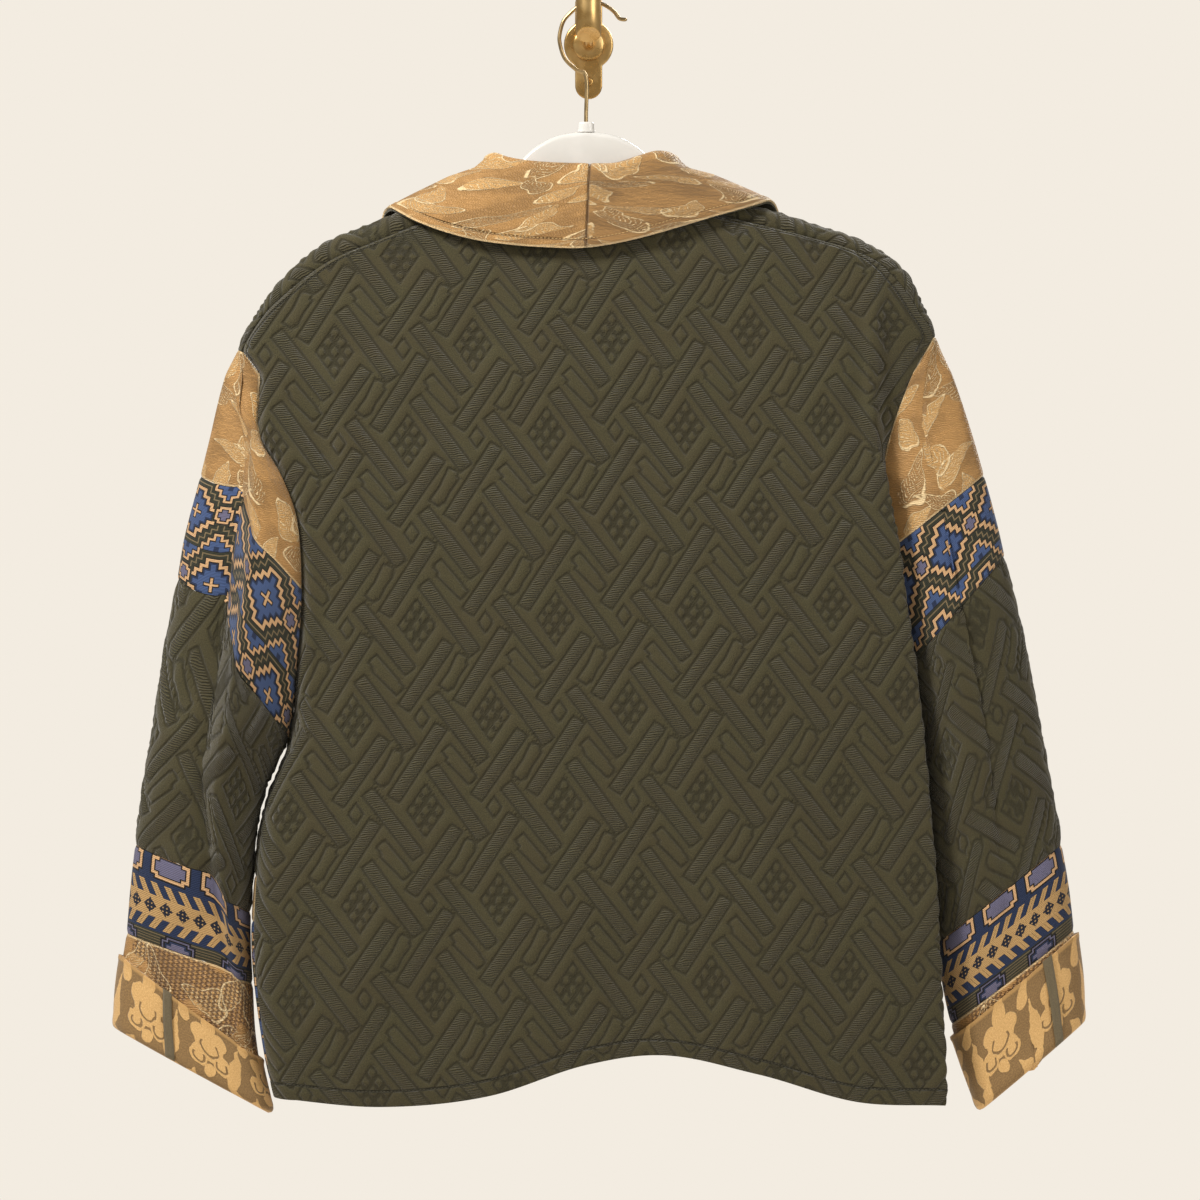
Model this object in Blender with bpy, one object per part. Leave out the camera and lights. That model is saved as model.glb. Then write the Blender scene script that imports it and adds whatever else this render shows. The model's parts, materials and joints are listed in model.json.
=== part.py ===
"""A shawl collar jacket of pieced cloth, on a hanger on a brass wall hook, seen from its back.

Lengths in the tables are millimetres. X is to the right in the back view, Z is up, and the wall is
the plane Y = 0, so a larger -Y is nearer the viewer. The origin lies on the back of the wall plate.
"""

import math

import bpy
import numpy as np

MM = 0.001
# Driving dimensions
CLOTH = 2.2             # wall of the quilted and woven cloth
THIN_CLOTH = 1.6        # wall of the under collar
SEAM_GAP = 0.3          # space between two pieces at a seam
SLEEVE_GAP = {"left": 0.6, "right": 0.3}   # wider where the sleeve is folded
SEAM_EASE = 0.8         # a piece is this much smaller on its inner side, all round
LAYER_GAP = 0.5         # space between layers that lie on each other
HANG_X = -2.0           # the hanger's wire hangs beside the hook's centre
HANG_Y = -75.0          # the hanger's plane, measured from the wall
QUILT_RISE = 0.9        # height of the quilting over the cloth
QUILT_WIDE, QUILT_TALL = 108.0, 149.0   # one repeat of the quilted lattice
CUFF_OFFSET = 3.2       # the turned-back cuff stands this far off the sleeve
CUFF_TURN = 3.0         # depth of the turn at the sleeve's end
STRAP_WIDTH, STRAP_THICK = 9.0, 1.6
COLLAR_ROLL = 4.6       # radius of the collar's roll line
HANGER_THICK = 9.0
HANGER_GAP = 2.2        # space between the hanger and the cloth that it holds
HANGER_END_LEFT, HANGER_END_RIGHT = -212.0, 212.0
WIRE_RADIUS = 1.6
PLATE_RADIUS, PLATE_THICK = 20.0, 4.0
LOBE_RADIUS, LOBE_REACH = 11.0, 33.0
BOSS_RADIUS, BOSS_DEEP = 13.0, 5.0
ARM_RADIUS = 4.0
TUBE_RADIUS, TUBE_Y, TUBE_TOP = 10.0, -94.5, 60.0
SCREW_RADIUS, SCREW_Z, SCREW_HIGH = 4.0, 30.0, 1.6

# Rows of the back, from the hem (0) by the underarm (5) and the top of the armhole (12) to the neck (17).
# The right side folds over itself at "fold x" before it reaches its end.
BACK = {
    "row":     [0, 1, 2, 3, 4, 5, 6, 7, 8, 9, 10, 11, 12, 13, 14, 15, 16, 17],
    "left x":  [-250, -257, -266, -265, -258, -238, -232, -227, -230, -243, -262, -262, -275, -262,
                -242, -208, -166, -84],
    "left z":  [-848, -812, -738, -678, -618, -560, -512, -450, -388, -350, -315, -268, -251, -226,
                -205, -179, -161, -128],
    "left y":  [-90, -90, -90, -88, -83, -75, -91, -98, -100, -99, -96, -90, -85, -87, -87.5, -87.5,
                -87.5, -86],
    "right x": [279, 279, 275, 271, 266, 258, 254, 249, 243.5, 238, 243, 262, 278, 266, 250, 226, 176, 78],
    "right z": [-854, -815, -737, -667, -585, -502, -470, -432, -390, -356, -320, -268, -240, -217,
                -194, -174, -158, -134],
    "right y": [-75, -75, -75, -75, -75, -75, -80, -82, -83, -84, -86, -87, -85, -87, -87.5, -87.5,
                -87.5, -86],
    "fold x":  [287, 286, 282, 278, 271, 262, 257, 252, 246, 239, 231, 225, 227, 230, 229, 214, 166, 70],
    "edge y":  [-105, -107, -108, -108, -107, -106, -106, -105, -105, -104, -102, -99, -96, -94, -92,
                -91, -91, -90],
    "mid y":   [-117, -119, -119, -118, -116, -114, -112, -110, -108, -106, -104, -102, -100, -99,
                -98, -96, -95, -98],
    "turn":    [18, 18, 18, 18, 18, 18, 14, 12, 12, 12, 12, 10, 10, 10, 10, 10, 10, 10],
}
HEM = {"x": [-250, -165, -77, 2, 60, 137, 219, 287], "lift": [0, -6, 4, 30, 38, 24, 2, 0]}
NECK_DIP = 15.0

# The crest of each shoulder, at the same rows as the shoulder seam on the back.
CREST = {
    "row":     [12, 13, 14, 15, 16, 17],
    "left x":  [-280, -269, -250, -216, -171, -81],
    "left z":  [-249, -228, -200, -168, -147, -114],
    "right x": [281, 270, 256, 229, 179, 75],
    "right z": [-238, -213, -187, -166, -147, -117],
}

# Rows of the fronts: the inner end runs down the neckline and the front edge.
FRONT = {
    "row":     [0, 1, 2, 3, 4, 5, 6, 7, 8, 9, 10, 11, 12],
    "inner x": [4, 4, 4, 4, 4, 4, 13, 34, 53, 64, 71, 76, 80],
    "inner z": [-837, -790, -715, -648, -578, -508, -455, -371, -291, -232, -187, -152, -131],
    "edge y":  [-46, -46, -46, -46, -47, -48, -49, -50, -52, -54, -57, -60, -63],
    "mid y":   [-42, -42, -42, -42, -43, -44, -45, -46, -48, -50, -53, -57, -62],
    "turn":    [16, 16, 16, 16, 15, 14, 14, 12, 12, 12, 12, 10, 8],
    "bulge":   [6, 6, 6, 6, 5, 2, 0, 0, 0, 0, 0, 0, 0],
    "sag":     [0, 0, 0, 0, 0, 0, 0, 0, 0, 0.1, 0.3, 0.6, 1.0],
}

# Lines across each sleeve. Rows 11 to 5 start on the armhole, and rows 5 to -5 go round the sleeve:
# 5 is the underarm, 0 the top of the border, -2 its end, and -5 the sleeve's end.
SLEEVE_LEFT = {
    "row":     [-5, -3, -2, -1, 0, 2, 3.5, 5, 6, 7, 8, 9, 10, 11],
    "outer x": [-377, -374, -369, -366, -362, -352, -344, -328, -322, -311, -302, -297, -292, -286],
    "outer z": [-790, -750, -717, -682, -646, -578, -525, -433, -398, -356, -320, -298, -278, -260],
    "inner x": [-255, -268, -271, -274, -282, -290, -272, -238, -232, -227, -230, -243, -262, -262],
    "inner z": [-858, -800, -757, -728, -700, -630, -592, -560, -512, -450, -388, -350, -315, -268],
    "deep":    [26, 27, 28, 29, 30, 30, 30, 28, 24, 20, 16, 12, 8, 4],
    "ridge":   [0.12, 0.14, 0.16, 0.22, 0.26, 0.16, 0.24, 0.47, 0.48, 0.48, 0.50, 0.45, 0.35, 0.30],
    "step":    [0, 3, 6, 9, 12, 15, 15, 15, 14, 13, 12, 8, 2, 0],
    "slip":    [0, 0.05, 0.12, 0.2, 0.28, 0.4, 0.42, 0.42, 0.42, 0.42, 0.4, 0.25, 0.1, 0],
    "round":   [0.45, 0.45, 0.45, 0.45, 0.45, 0.45, 0.5, 0.6, 0.7, 0.7, 0.7, 0.7, 0.8, 1],
}
SLEEVE_RIGHT = {
    "row":     [-5, -3, -2, -1, 0, 2, 3.5, 5, 6, 7, 8, 9, 10, 11],
    "outer x": [398, 396, 392, 388, 382, 366, 354, 336, 331, 324, 316, 308, 299, 288],
    "outer z": [-786, -745, -715, -681, -646, -560, -494, -415, -393, -366, -338, -312, -283, -254],
    "inner x": [316, 301, 293, 286, 281, 275, 270, 258, 254, 249, 243.5, 238, 243, 262],
    "inner z": [-856, -815, -790, -758, -725, -625, -560, -502, -470, -432, -390, -356, -320, -268],
    "deep":    [26, 27, 28, 28, 29, 30, 30, 28, 24, 20, 16, 12, 8, 4],
    "ridge":   [0.45, 0.45, 0.45, 0.45, 0.45, 0.45, 0.45, 0.45, 0.45, 0.45, 0.45, 0.45, 0.4, 0.4],
    "step":    [0, 0, 1, 2, 3, 3, 3, 2, 1, 0, 0, 0, 0, 0],
    "slip":    [0, 0, 0, 0, 0, 0, 0, 0, 0, 0, 0, 0, 0, 0],
    "round":   [0.45, 0.45, 0.45, 0.45, 0.45, 0.5, 0.6, 0.9, 1.2, 1.2, 1.2, 1.2, 1.2, 1.2],
}
SLEEVE_SET_BACK = {"left": 4.0, "right": 8.0}   # the hanging part of a sleeve lies nearer the wall
GOLD_STEPS = {"left": 9, "right": 8}   # grid rows of the gold top, counted down the armhole

# Stations of the collar's right half, from the centre back (0) over the shoulder (4) down the front (11).
# N is where it is sewn on, R its roll line and E its outer edge. "side" turns from back (0) to front (180).
COLLAR = {
    "station": [0, 1, 2, 3, 3.5, 3.75, 4, 4.25, 4.5, 5, 6, 7, 8, 9, 10, 11],
    "n x":     [0, 27, 52, 66, 71, 71.5, 71.5, 72, 72.5, 73, 68.4, 61.4, 50.4, 31.4, 15, 9],
    "n z":     [-145.4, -144.3, -140.2, -136.8, -128, -121, -116, -119, -127, -148, -184, -229, -289, -369,
                -440, -466],
    "n y":     [-96.9, -95.5, -91.5, -88, -83, -79, -75, -71, -66, -58, -54.5, -51.2, -49.2, -47.2,
                -46.2, -46],
    "r x":     [3, 28, 50, 63, 67, 68.5, 69.5, 70, 70, 66, 60, 53, 42, 24, 9, 4.8],
    "r z":     [-102, -101, -93, -92, -93, -94, -95, -98, -106, -130, -172, -219, -280, -361, -436, -463],
    "r y":     [-93, -93, -89, -84, -79, -77, -75, -71, -66, -57.5, -53, -49.5, -47.5, -45.7, -44.5,
                -44.3],
    "e x":     [0, 32, 66, 103, 128, 139, 147, 152, 156, 162, 158, 148, 128, 92, 42, 16],
    "e z":     [-168, -163, -154, -143, -136, -132.5, -130, -133, -142, -182, -245, -310, -375, -440,
                -485, -492],
    "e y":     [-103, -102.5, -100.5, -98, -93, -86, -75, -64, -57.5, -54, -50, -46.5, -43.5, -41.5,
                -40.5, -40],
    "side":    [0, 0, 10, 35, 60, 75, 90, 105, 120, 145, 165, 172, 178, 180, 180, 180],
}
# The left half differs where the photo shows it: a longer fall over the shoulder.
COLLAR_LEFT = {
    "n x": [0, 27, 54, 70, 78, 78.5, 78, 77.5, 77, 75, 68.4, 61.4, 50.4, 31.4, 15, 9],
    "n z": [-145.4, -143.2, -137.4, -132, -124, -118, -113, -117, -126, -148, -184, -229, -289, -369,
            -440, -466],
    "r x": [-3, 32, 58, 70, 74, 75.5, 76, 76, 74, 68, 60, 53, 42, 24, 9, 4.8],
    "r z": [-102, -101, -98, -94, -93, -93.5, -94, -97, -105, -130, -172, -219, -280, -361, -436, -463],
    "e x": [0, 45, 79, 111, 138, 149, 157, 162, 165, 168, 160, 148, 128, 92, 42, 16],
    "e z": [-168, -167, -163, -156, -146, -140, -136, -138.5, -148, -188, -250, -310, -375, -440,
            -485, -492],
}
# Where the collar is sampled: closer together where it rounds the shoulder.
COLLAR_AT = [0, 0.8, 1.6, 2.4, 3, 3.3, 3.55, 3.75, 4, 4.2, 4.4, 4.7, 5.1, 6, 7, 8, 9, 10, 11]
# The rows of each sleeve where its cuff's upper edge lies, at the inner and the outer side.
CUFF_TOP = {"left": (-3.55, -2.5), "right": (-2.35, -2.05)}
CUFF_STEPS = 5
STRAP_X = {"left": -334.0, "right": 376.0}

# Top of the hanger between the collar's stands, and its height below that.
HANGER_DOME = {"x": [0, 29, 50, 57, 62, 70, 84], "z": [-73, -79, -94, -103, -117, -126, -126]}
HANGER_HEIGHT = {"x": [0, 60, 120, 225], "high": [40, 30, 22, 13]}
# Centre of the hanger's wire, from the hanger up and round the arm.
HOOK_WIRE = {
    "x": [0, 0, -8, -17, -21, -21, -18, -12, -5, 3, 12, 18, 23, 27, 33],
    "z": [-62, -30, -24, -15, -3, 5, 15, 22, 27.5, 30.4, 29, 26, 22, 17, 16],
}
ARM = {"y": [-9, -15, -22, -35, -50, -66, -76, -84], "z": [0, 0, 0.9, 7, 17.5, 23.6, 24.4, 24.4]}

# Numbers of grid steps
SIDE_STEPS, MIDDLE_STEPS = 5, 26
ROWS_BELOW, ROWS_ARMHOLE, ROWS_SHOULDER = 16, 14, 10
FOLD_STEPS = 6
FRONT_MIDDLE_STEPS = ROWS_SHOULDER - 4

COLOURS = {
    "olive": (0.062, 0.058, 0.032), "gold": (0.52, 0.30, 0.10), "kilim": (0.05, 0.07, 0.16),
    "border": (0.10, 0.11, 0.15), "damask": (0.34, 0.22, 0.10), "khaki": (0.20, 0.15, 0.07),
    "plastic": (0.86, 0.86, 0.86), "brass": (0.75, 0.50, 0.16),
}
LOOKS = {"plastic": (0.25, 0.0), "brass": (0.28, 1.0)}
CLOTH_LOOK = (0.9, 0.0)


def curve(keys, values, at):
    """Values on the smooth line through a table's rows, each with the slope of its neighbours."""
    keys, values, at = (np.asarray(column, float) for column in (keys, values, at))
    slopes = np.gradient(values, keys)
    low = np.clip(np.searchsorted(keys, at, side="right") - 1, 0, len(keys) - 2)
    width = keys[low + 1] - keys[low]
    t = np.clip((at - keys[low]) / width, 0.0, 1.0)
    ease = t * t * (3 - 2 * t)
    return (
        values[low] * (1 - ease)
        + values[low + 1] * ease
        + width * (slopes[low] * t * (1 - t) ** 2 - slopes[low + 1] * t * t * (1 - t))
    )


def column(table, name, at):
    return curve(table["row"], table[name], at)


def bezier(ends, t):
    """Points of a cubic curve, from four control points of shape (rows, 1, 3) at t of shape (columns, 1)."""
    a, b, c, d = ends
    return a * (1 - t) ** 3 + 3 * b * t * (1 - t) ** 2 + 3 * c * t * t * (1 - t) + d * t ** 3


def points(x, y, z):
    return np.stack(np.broadcast_arrays(x, y, z), axis=-1).astype(float)


def unit(vectors):
    return vectors / np.maximum(np.linalg.norm(vectors, axis=-1, keepdims=True), 1e-9)


def back_rows(row):
    """The back's grid of points: a line of points for each row, from the left end to the right end."""
    row = np.atleast_1d(np.asarray(row, float))
    value = {name: column(BACK, name, row) for name in BACK if name != "row"}
    left = points(value["left x"], value["left y"], value["left z"])[:, None]
    right = points(value["right x"], value["right y"], value["right z"])[:, None]

    def on_back(x):
        """Points of the broad middle at these x."""
        span = (x - left[..., 0]) / (right[..., 0] - left[..., 0])
        across = (x - left[..., 0] - value["turn"][:, None]) / (
            value["fold x"] - value["left x"] - value["turn"]
        )[:, None]
        swell = np.clip(1 - (2 * across - 1) ** 2, 0, 1)
        y = value["edge y"][:, None] + (value["mid y"] - value["edge y"])[:, None] * swell
        z = left[..., 2] + (right[..., 2] - left[..., 2]) * span
        z = z + np.clip(1 - row / 4, 0, 1)[:, None] ** 2 * curve(HEM["x"], HEM["lift"], x)
        return points(x, y, z)

    start = (value["left x"] + value["turn"])[:, None]
    stop = value["fold x"][:, None]
    middle = on_back(start + (stop - start) * np.linspace(0, 1, MIDDLE_STEPS + 1))
    t = np.linspace(0, 1, SIDE_STEPS + 1)[:, None]
    first, last = middle[:, :1], middle[:, -1:]
    reach = (value["turn"] * 0.6)[:, None, None] * np.array([1.0, 0, 0])
    below = np.clip(1 - row / 5, 0, 1)[:, None, None] ** 0.5
    outward = left + below * [[0.0, -8.0, 0.0]] + (1 - below) * (first - left) * 0.3
    left_turn = bezier((left, outward, first - reach, first), t)
    wide = right[..., :1] - last[..., :1]
    lead = last + [[4.0, 0, 0]]
    corner = right + (last - right) * [[0.0, 0.0, 0.5]]
    corner[..., 0] = np.where(wide > 0, last[..., :1] + 2.0 + 0.2 * wide, right[..., :1] + 2.0)[..., 0]
    corner[..., 1] = right[..., 1] - np.where(wide > 0, 2.0, 9.0)[..., 0]
    right_turn = bezier((last, lead, corner, right), t)
    grid = np.concatenate([left_turn[:, :-1], middle, right_turn[:, 1:]], axis=1)
    dip = np.clip(row - 16, 0, 1)[:, None] * (1 - np.linspace(-1, 1, grid.shape[1]) ** 2)
    grid[..., 2] -= NECK_DIP * dip
    return grid


def shoulder_rows(side, row, angle):
    """Points of the shoulder's fold: a line for each angle, from -90 on the back over 0 to 90 in front."""
    seam_x, seam_z = column(BACK, side + " x", row), column(BACK, side + " z", row)
    deep = -HANG_Y + column(BACK, side + " y", row)
    rise_x, rise_z = column(CREST, side + " x", row) - seam_x, column(CREST, side + " z", row) - seam_z
    angle = np.radians(np.asarray(angle, float))[:, None]
    return points(
        seam_x + rise_x * np.cos(angle), HANG_Y - deep * np.sin(angle), seam_z + rise_z * np.cos(angle)
    )


def front_rows(side, row, shoulder):
    """A front's grid: lines from the armhole or side seam to the neckline or front edge."""
    sign = -1.0 if side == "left" else 1.0
    row = np.atleast_1d(np.asarray(row, float))
    value = {name: column(FRONT, name, row)[:, None] for name in FRONT if name != "row"}
    value["bulge"] = value["bulge"] * (side == "left")
    x, y, z = (column(BACK, f"{side} {axis}", row)[:, None] for axis in "xyz")
    y = np.where(row[:, None] > 5, 2 * HANG_Y - y, y)
    outer = points(x, y, z)
    turned = outer + points(-sign * value["turn"], 0 * x, 0 * x)
    turned[..., 1] = value["edge y"]
    bulge = points(sign * value["bulge"], 0 * x, 0 * x)
    lean = np.clip(value["bulge"] / 6, 0, 1)[..., None]
    first = outer + bulge * 1.3 + lean * [0.0, 7.0, 0.0] + (1 - lean) * (turned - outer) * 0.3
    second = turned + bulge * 1.2 + points(sign * value["turn"] * 0.5, 0 * x, 0 * x)
    t = np.linspace(0, 1, 5)[:, None]
    turn = bezier((outer, first, second, turned), t)
    inner = points(sign * value["inner x"], value["mid y"], value["inner z"])
    s = np.linspace(0, 1, FRONT_MIDDLE_STEPS + 1)[:, None]
    middle = turned + (inner - turned) * s
    ease = (1 - (1 - s) ** 2)[..., 0]
    middle[..., 1] = value["edge y"] + (value["mid y"] - value["edge y"]) * ease
    grid = np.concatenate([turn[:, :-1], middle], axis=1)
    chord = shoulder[0] + (shoulder[-1] - shoulder[0]) * np.linspace(0, 1, len(shoulder))[:, None]
    grid[..., 2] += value["sag"] * (shoulder - chord)[..., 2]
    return grid


def sleeve_rows(side, row):
    """A sleeve's grid: for each row a line from the back armhole round the outside to the front armhole."""
    table = SLEEVE_LEFT if side == "left" else SLEEVE_RIGHT
    row = np.atleast_1d(np.asarray(row, float))
    value = {name: column(table, name, row)[:, None] for name in table if name != "row"}
    on_armhole = row[:, None] >= 5
    for axis in "xz":
        exact = column(BACK, f"{side} {axis}", np.maximum(row, 5))[:, None]
        value["inner " + axis] = np.where(on_armhole, exact, value["inner " + axis])
    seam = HANG_Y - column(BACK, f"{side} y", np.maximum(row, 5))[:, None]
    seam = np.where(on_armhole, seam, 0)
    ridge = value["ridge"]
    crest = np.array([0, 0.06, 0.2, 0.5, 1.0])
    beyond = np.array([0.14, 0.36, 0.6, 0.82, 0.95, 1.0])
    fold = 3.0 / np.abs(value["outer x"] - value["inner x"])
    a = np.concatenate(
        [ridge * crest, ridge + fold * 0.8, ridge + fold * 2.4,
         ridge + (1 - ridge) * beyond], axis=1)
    raised = np.concatenate([crest ** 0.7, [0.8, 0.12], 0 * beyond])
    a_front = np.array([0.96, 0.84, 0.62, 0.38, 0.18, 0.05, 0])
    across = np.concatenate([a, np.broadcast_to(a_front, (len(row), len(a_front)))], axis=1)
    facing = np.concatenate([-np.ones(a.shape[1] - 1), [0], np.ones(len(a_front))])
    raised = np.concatenate([raised, 0 * a_front])
    round_part = np.clip(1 - (2 * across - 1) ** 2, 0, 1) ** np.where(across < 0.5, value["round"], 0.45)
    y = facing * (value["deep"] * round_part + seam * (1 - across)) - value["step"] * raised
    middle = HANG_Y + SLEEVE_SET_BACK[side] * np.clip(1 - (row[:, None] - 1) / 4, 0, 1)
    loose = np.concatenate([0 * crest, [0.2, 0.7], np.ones(len(beyond)), np.clip(a_front / 0.6 - 0.5, 0, 1)])
    slope = across + value["slip"] * loose * (np.clip(1 - across, 0, 1) / (1 - ridge)) ** 1.3
    x = value["inner x"] + (value["outer x"] - value["inner x"]) * across
    z = value["inner z"] + (value["outer z"] - value["inner z"]) * np.clip(slope, 0, 1)
    return points(x, middle + y, z)


def armhole_top(side, count, angles):
    """The sleeve's first line: straight from the armhole's top row to the shoulder seam, then over the fold."""
    back, front = sleeve_rows(side, 11)[0][[0, -1]]
    over = shoulder_rows(side, np.array([12.0]), angles)[:, 0]
    corners = np.concatenate([[back], over, [front]])
    spare = count - len(corners)
    each = np.full(len(corners) - 1, 1)
    order = [0, len(each) - 1, 0, len(each) - 1, 0, len(each) - 1, 0, len(each) - 1] + list(range(1, 99))
    for step in order[:spare]:
        each[step] += 1
    parts = [
        corners[i] + (corners[i + 1] - corners[i]) * np.arange(n)[:, None] / n for i, n in enumerate(each)
    ]
    return np.concatenate(parts + [corners[-1:]])


def grid_normals(grid, closed):
    """Area-weighted normals of a grid's faces, and the sums of them at its points."""
    total = np.zeros_like(grid)
    right = np.roll(grid, -1, axis=1) if closed else grid[:, 1:]
    left = grid if closed else grid[:, :-1]
    face = np.cross(right[:-1] - left[1:], right[1:] - left[:-1])
    columns = np.arange(face.shape[1])
    after = (columns + 1) % grid.shape[1]
    for down in (0, 1):
        rows = slice(down, down + face.shape[0])
        total[rows, columns] += face
        total[rows, after] += face
    return total


def shared_normals(panels):
    """Normals of all panels, the same for points where panels meet, so that their edges are parallel."""
    sums = {}
    for panel in panels:
        panel["sum"] = grid_normals(panel["grid"], panel["closed"]) * panel["facing"]
        for key, normal in zip(map(tuple, np.round(panel["grid"].reshape(-1, 3), 3)),
                               panel["sum"].reshape(-1, 3)):
            sums[key] = sums.get(key, 0) + normal
    for panel in panels:
        keys = map(tuple, np.round(panel["grid"].reshape(-1, 3), 3))
        panel["normal"] = unit(np.array([sums[key] for key in keys]).reshape(panel["grid"].shape))


def pulled_in(grid, normal, closed, distance):
    """The grid with its border moved inwards, across the border's own direction."""
    moved = grid.copy()

    def pull(border, inside, n):
        along = np.gradient(border, axis=0)
        if closed:
            along = np.roll(border, -1, axis=0) - np.roll(border, 1, axis=0)
        inward = inside - border
        inward -= unit(along) * (inward * unit(along)).sum(-1, keepdims=True)
        inward -= n * (inward * n).sum(-1, keepdims=True)
        return unit(inward) * distance

    moved[0] += pull(grid[0], grid[1], normal[0])
    moved[-1] += pull(grid[-1], grid[-2], normal[-1])
    if not closed:
        moved[:, 0] += pull(grid[:, 0], grid[:, 1], normal[:, 0])
        moved[:, -1] += pull(grid[:, -1], grid[:, -2], normal[:, -1])
    return moved


def border_loop(index):
    """The points round a grid of indices, and each one's share of the way round its four sides."""
    ring, share = [], []
    for side, line in enumerate((index[0], index[:, -1], index[-1, ::-1], index[::-1, 0])):
        ring += list(line[:-1])
        share += list(side + np.arange(len(line) - 1) / (len(line) - 1))
    return ring, share, 4.0


def zip_loops(first, second):
    """Triangles between two loops, stepping along whichever lags behind."""
    (a, share_a, whole), (b, share_b, _) = first, second
    faces, i, j = [], 0, 0
    while i < len(a) or j < len(b):
        next_a = share_a[i + 1] if i + 1 < len(a) else whole
        next_b = share_b[j + 1] if j + 1 < len(b) else whole
        p, q = a[i % len(a)], b[j % len(b)]
        if j == len(b) or (i < len(a) and next_a <= next_b):
            i += 1
            faces.append((p, a[i % len(a)], q))
        else:
            j += 1
            faces.append((p, b[j % len(b)], q))
    return faces


def grid_faces(index, closed):
    """Quads of a grid of point numbers, wound so that columns turn into rows."""
    after = np.roll(index, -1, axis=1) if closed else index[:, 1:]
    here = index if closed else index[:, :-1]
    corners = np.stack([here[:-1], after[:-1], after[1:], here[1:]], axis=-1)
    return [tuple(face) for face in corners.reshape(-1, 4)]


def flipped(faces):
    """The faces turned over, each split along the same diagonal as before."""
    return [(face[0], *face[:0:-1]) for face in faces]


def thinned(first, last, step):
    """Every step-th number from first to last, both kept."""
    chosen = list(range(first, last, step))
    return chosen + [last]


def inner_faces(index, closed, step):
    """The plain inner side of a wall: all border points, and a coarse field of points inside them."""
    rows, columns = index.shape
    if rows < 5 or (columns < 5 and not closed) or step == (1, 1):
        return grid_faces(index, closed)
    row_picks = thinned(1, rows - 2, step[0])
    if closed:
        field = index[row_picks][:, ::step[1]]
        share = [list(np.arange(0, columns, n) / columns) for n in (1, step[1])]
        top = zip_loops((list(index[0]), share[0], 1.0), (list(field[0]), share[1], 1.0))
        foot = zip_loops((list(index[-1]), share[0], 1.0), (list(field[-1]), share[1], 1.0))
        return grid_faces(field, True) + top + flipped(foot)
    field = index[np.ix_(row_picks, thinned(1, columns - 2, step[1]))]
    return grid_faces(field, False) + zip_loops(border_loop(index), border_loop(field))


def make_wall(name, grid, normal, closed, facing, material, thick=CLOTH, relief=None, step=(2, 2),
              out=0.0, gap=SEAM_GAP):
    """A closed cloth wall: the grid is its outer face, and its inner face is plain, with fewer points."""
    border = pulled_in(grid, normal, closed, gap / 2)
    outer = border + normal * out
    if relief is not None:
        outer = outer + normal * relief[..., None]
    inner = pulled_in(grid, normal, closed, gap / 2 + SEAM_EASE) + normal * (out - thick)
    index = np.arange(grid.shape[0] * grid.shape[1]).reshape(grid.shape[:2])
    inside = index + index.size
    faces = grid_faces(index, closed) + flipped(inner_faces(inside, closed, step))
    if closed:
        ends = [np.stack([index[row], inside[row]]) for row in (0, -1)]
        faces += flipped(grid_faces(ends[0], True)) + grid_faces(ends[1], True)
    else:
        ring = np.array([border_loop(index)[0], border_loop(inside)[0]])
        faces += flipped(grid_faces(ring, True))
    if facing < 0:
        faces = flipped(faces)
    vertices = np.concatenate([outer.reshape(-1, 3), inner.reshape(-1, 3)])
    used = sorted({point for face in faces for point in face})
    number = dict(zip(used, range(len(used))))
    faces = [[number[point] for point in face] for face in faces]
    return make_mesh(name, vertices[used], faces, material)


def make_mesh(name, vertices, faces, material, smooth=True):
    mesh = bpy.data.meshes.new(name)
    shift = np.array([HANG_X, 0.0, 0.0])
    mesh.from_pydata(((np.asarray(vertices) + shift) * MM).tolist(), [], [list(map(int, f)) for f in faces])
    mesh.validate()
    if smooth:
        mesh.shade_smooth()
        mesh.set_sharp_from_angle(angle=math.radians(50))
    thing = bpy.data.objects.new(name, mesh)
    bpy.context.scene.collection.objects.link(thing)
    mesh.materials.append(material)
    return thing


def make_material(name):
    rough, metal = LOOKS.get(name, CLOTH_LOOK)
    material = bpy.data.materials.new(name)
    material.use_nodes = True
    shader = material.node_tree.nodes["Principled BSDF"]
    shader.inputs["Base Color"].default_value = (*COLOURS[name], 1.0)
    shader.inputs["Roughness"].default_value = rough
    shader.inputs["Metallic"].default_value = metal
    return material


def quilting(grid):
    """Height of the quilted lattice: lozenges between two crossing families of grooves."""
    x, z = grid[..., 0], grid[..., 2]
    one = np.abs(np.sin(math.pi * (x / QUILT_WIDE + z / QUILT_TALL)))
    two = np.abs(np.sin(math.pi * (x / QUILT_WIDE - z / QUILT_TALL)))
    height = QUILT_RISE * np.minimum(one, two) ** 0.5
    height[[0, -1]] = 0
    height[:, [0, -1]] = 0
    return height


def slanted(side, first, last, steps):
    """Lines of a sleeve's grid whose row runs from first to last, each a value per grid column."""
    dense = np.linspace(-5, 5, 81)
    grid = sleeve_rows(side, dense)[:, :-1]
    share = np.linspace(0, 1, steps + 1)[:, None]
    wanted = first + (last - first) * share
    place = np.clip((wanted + 5) / 10 * 80, 0, 79.999)
    low = place.astype(int)
    part = (place - low)[..., None]
    columns = np.arange(grid.shape[1])
    return grid[low, columns] * (1 - part) + grid[low + 1, columns] * part


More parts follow.
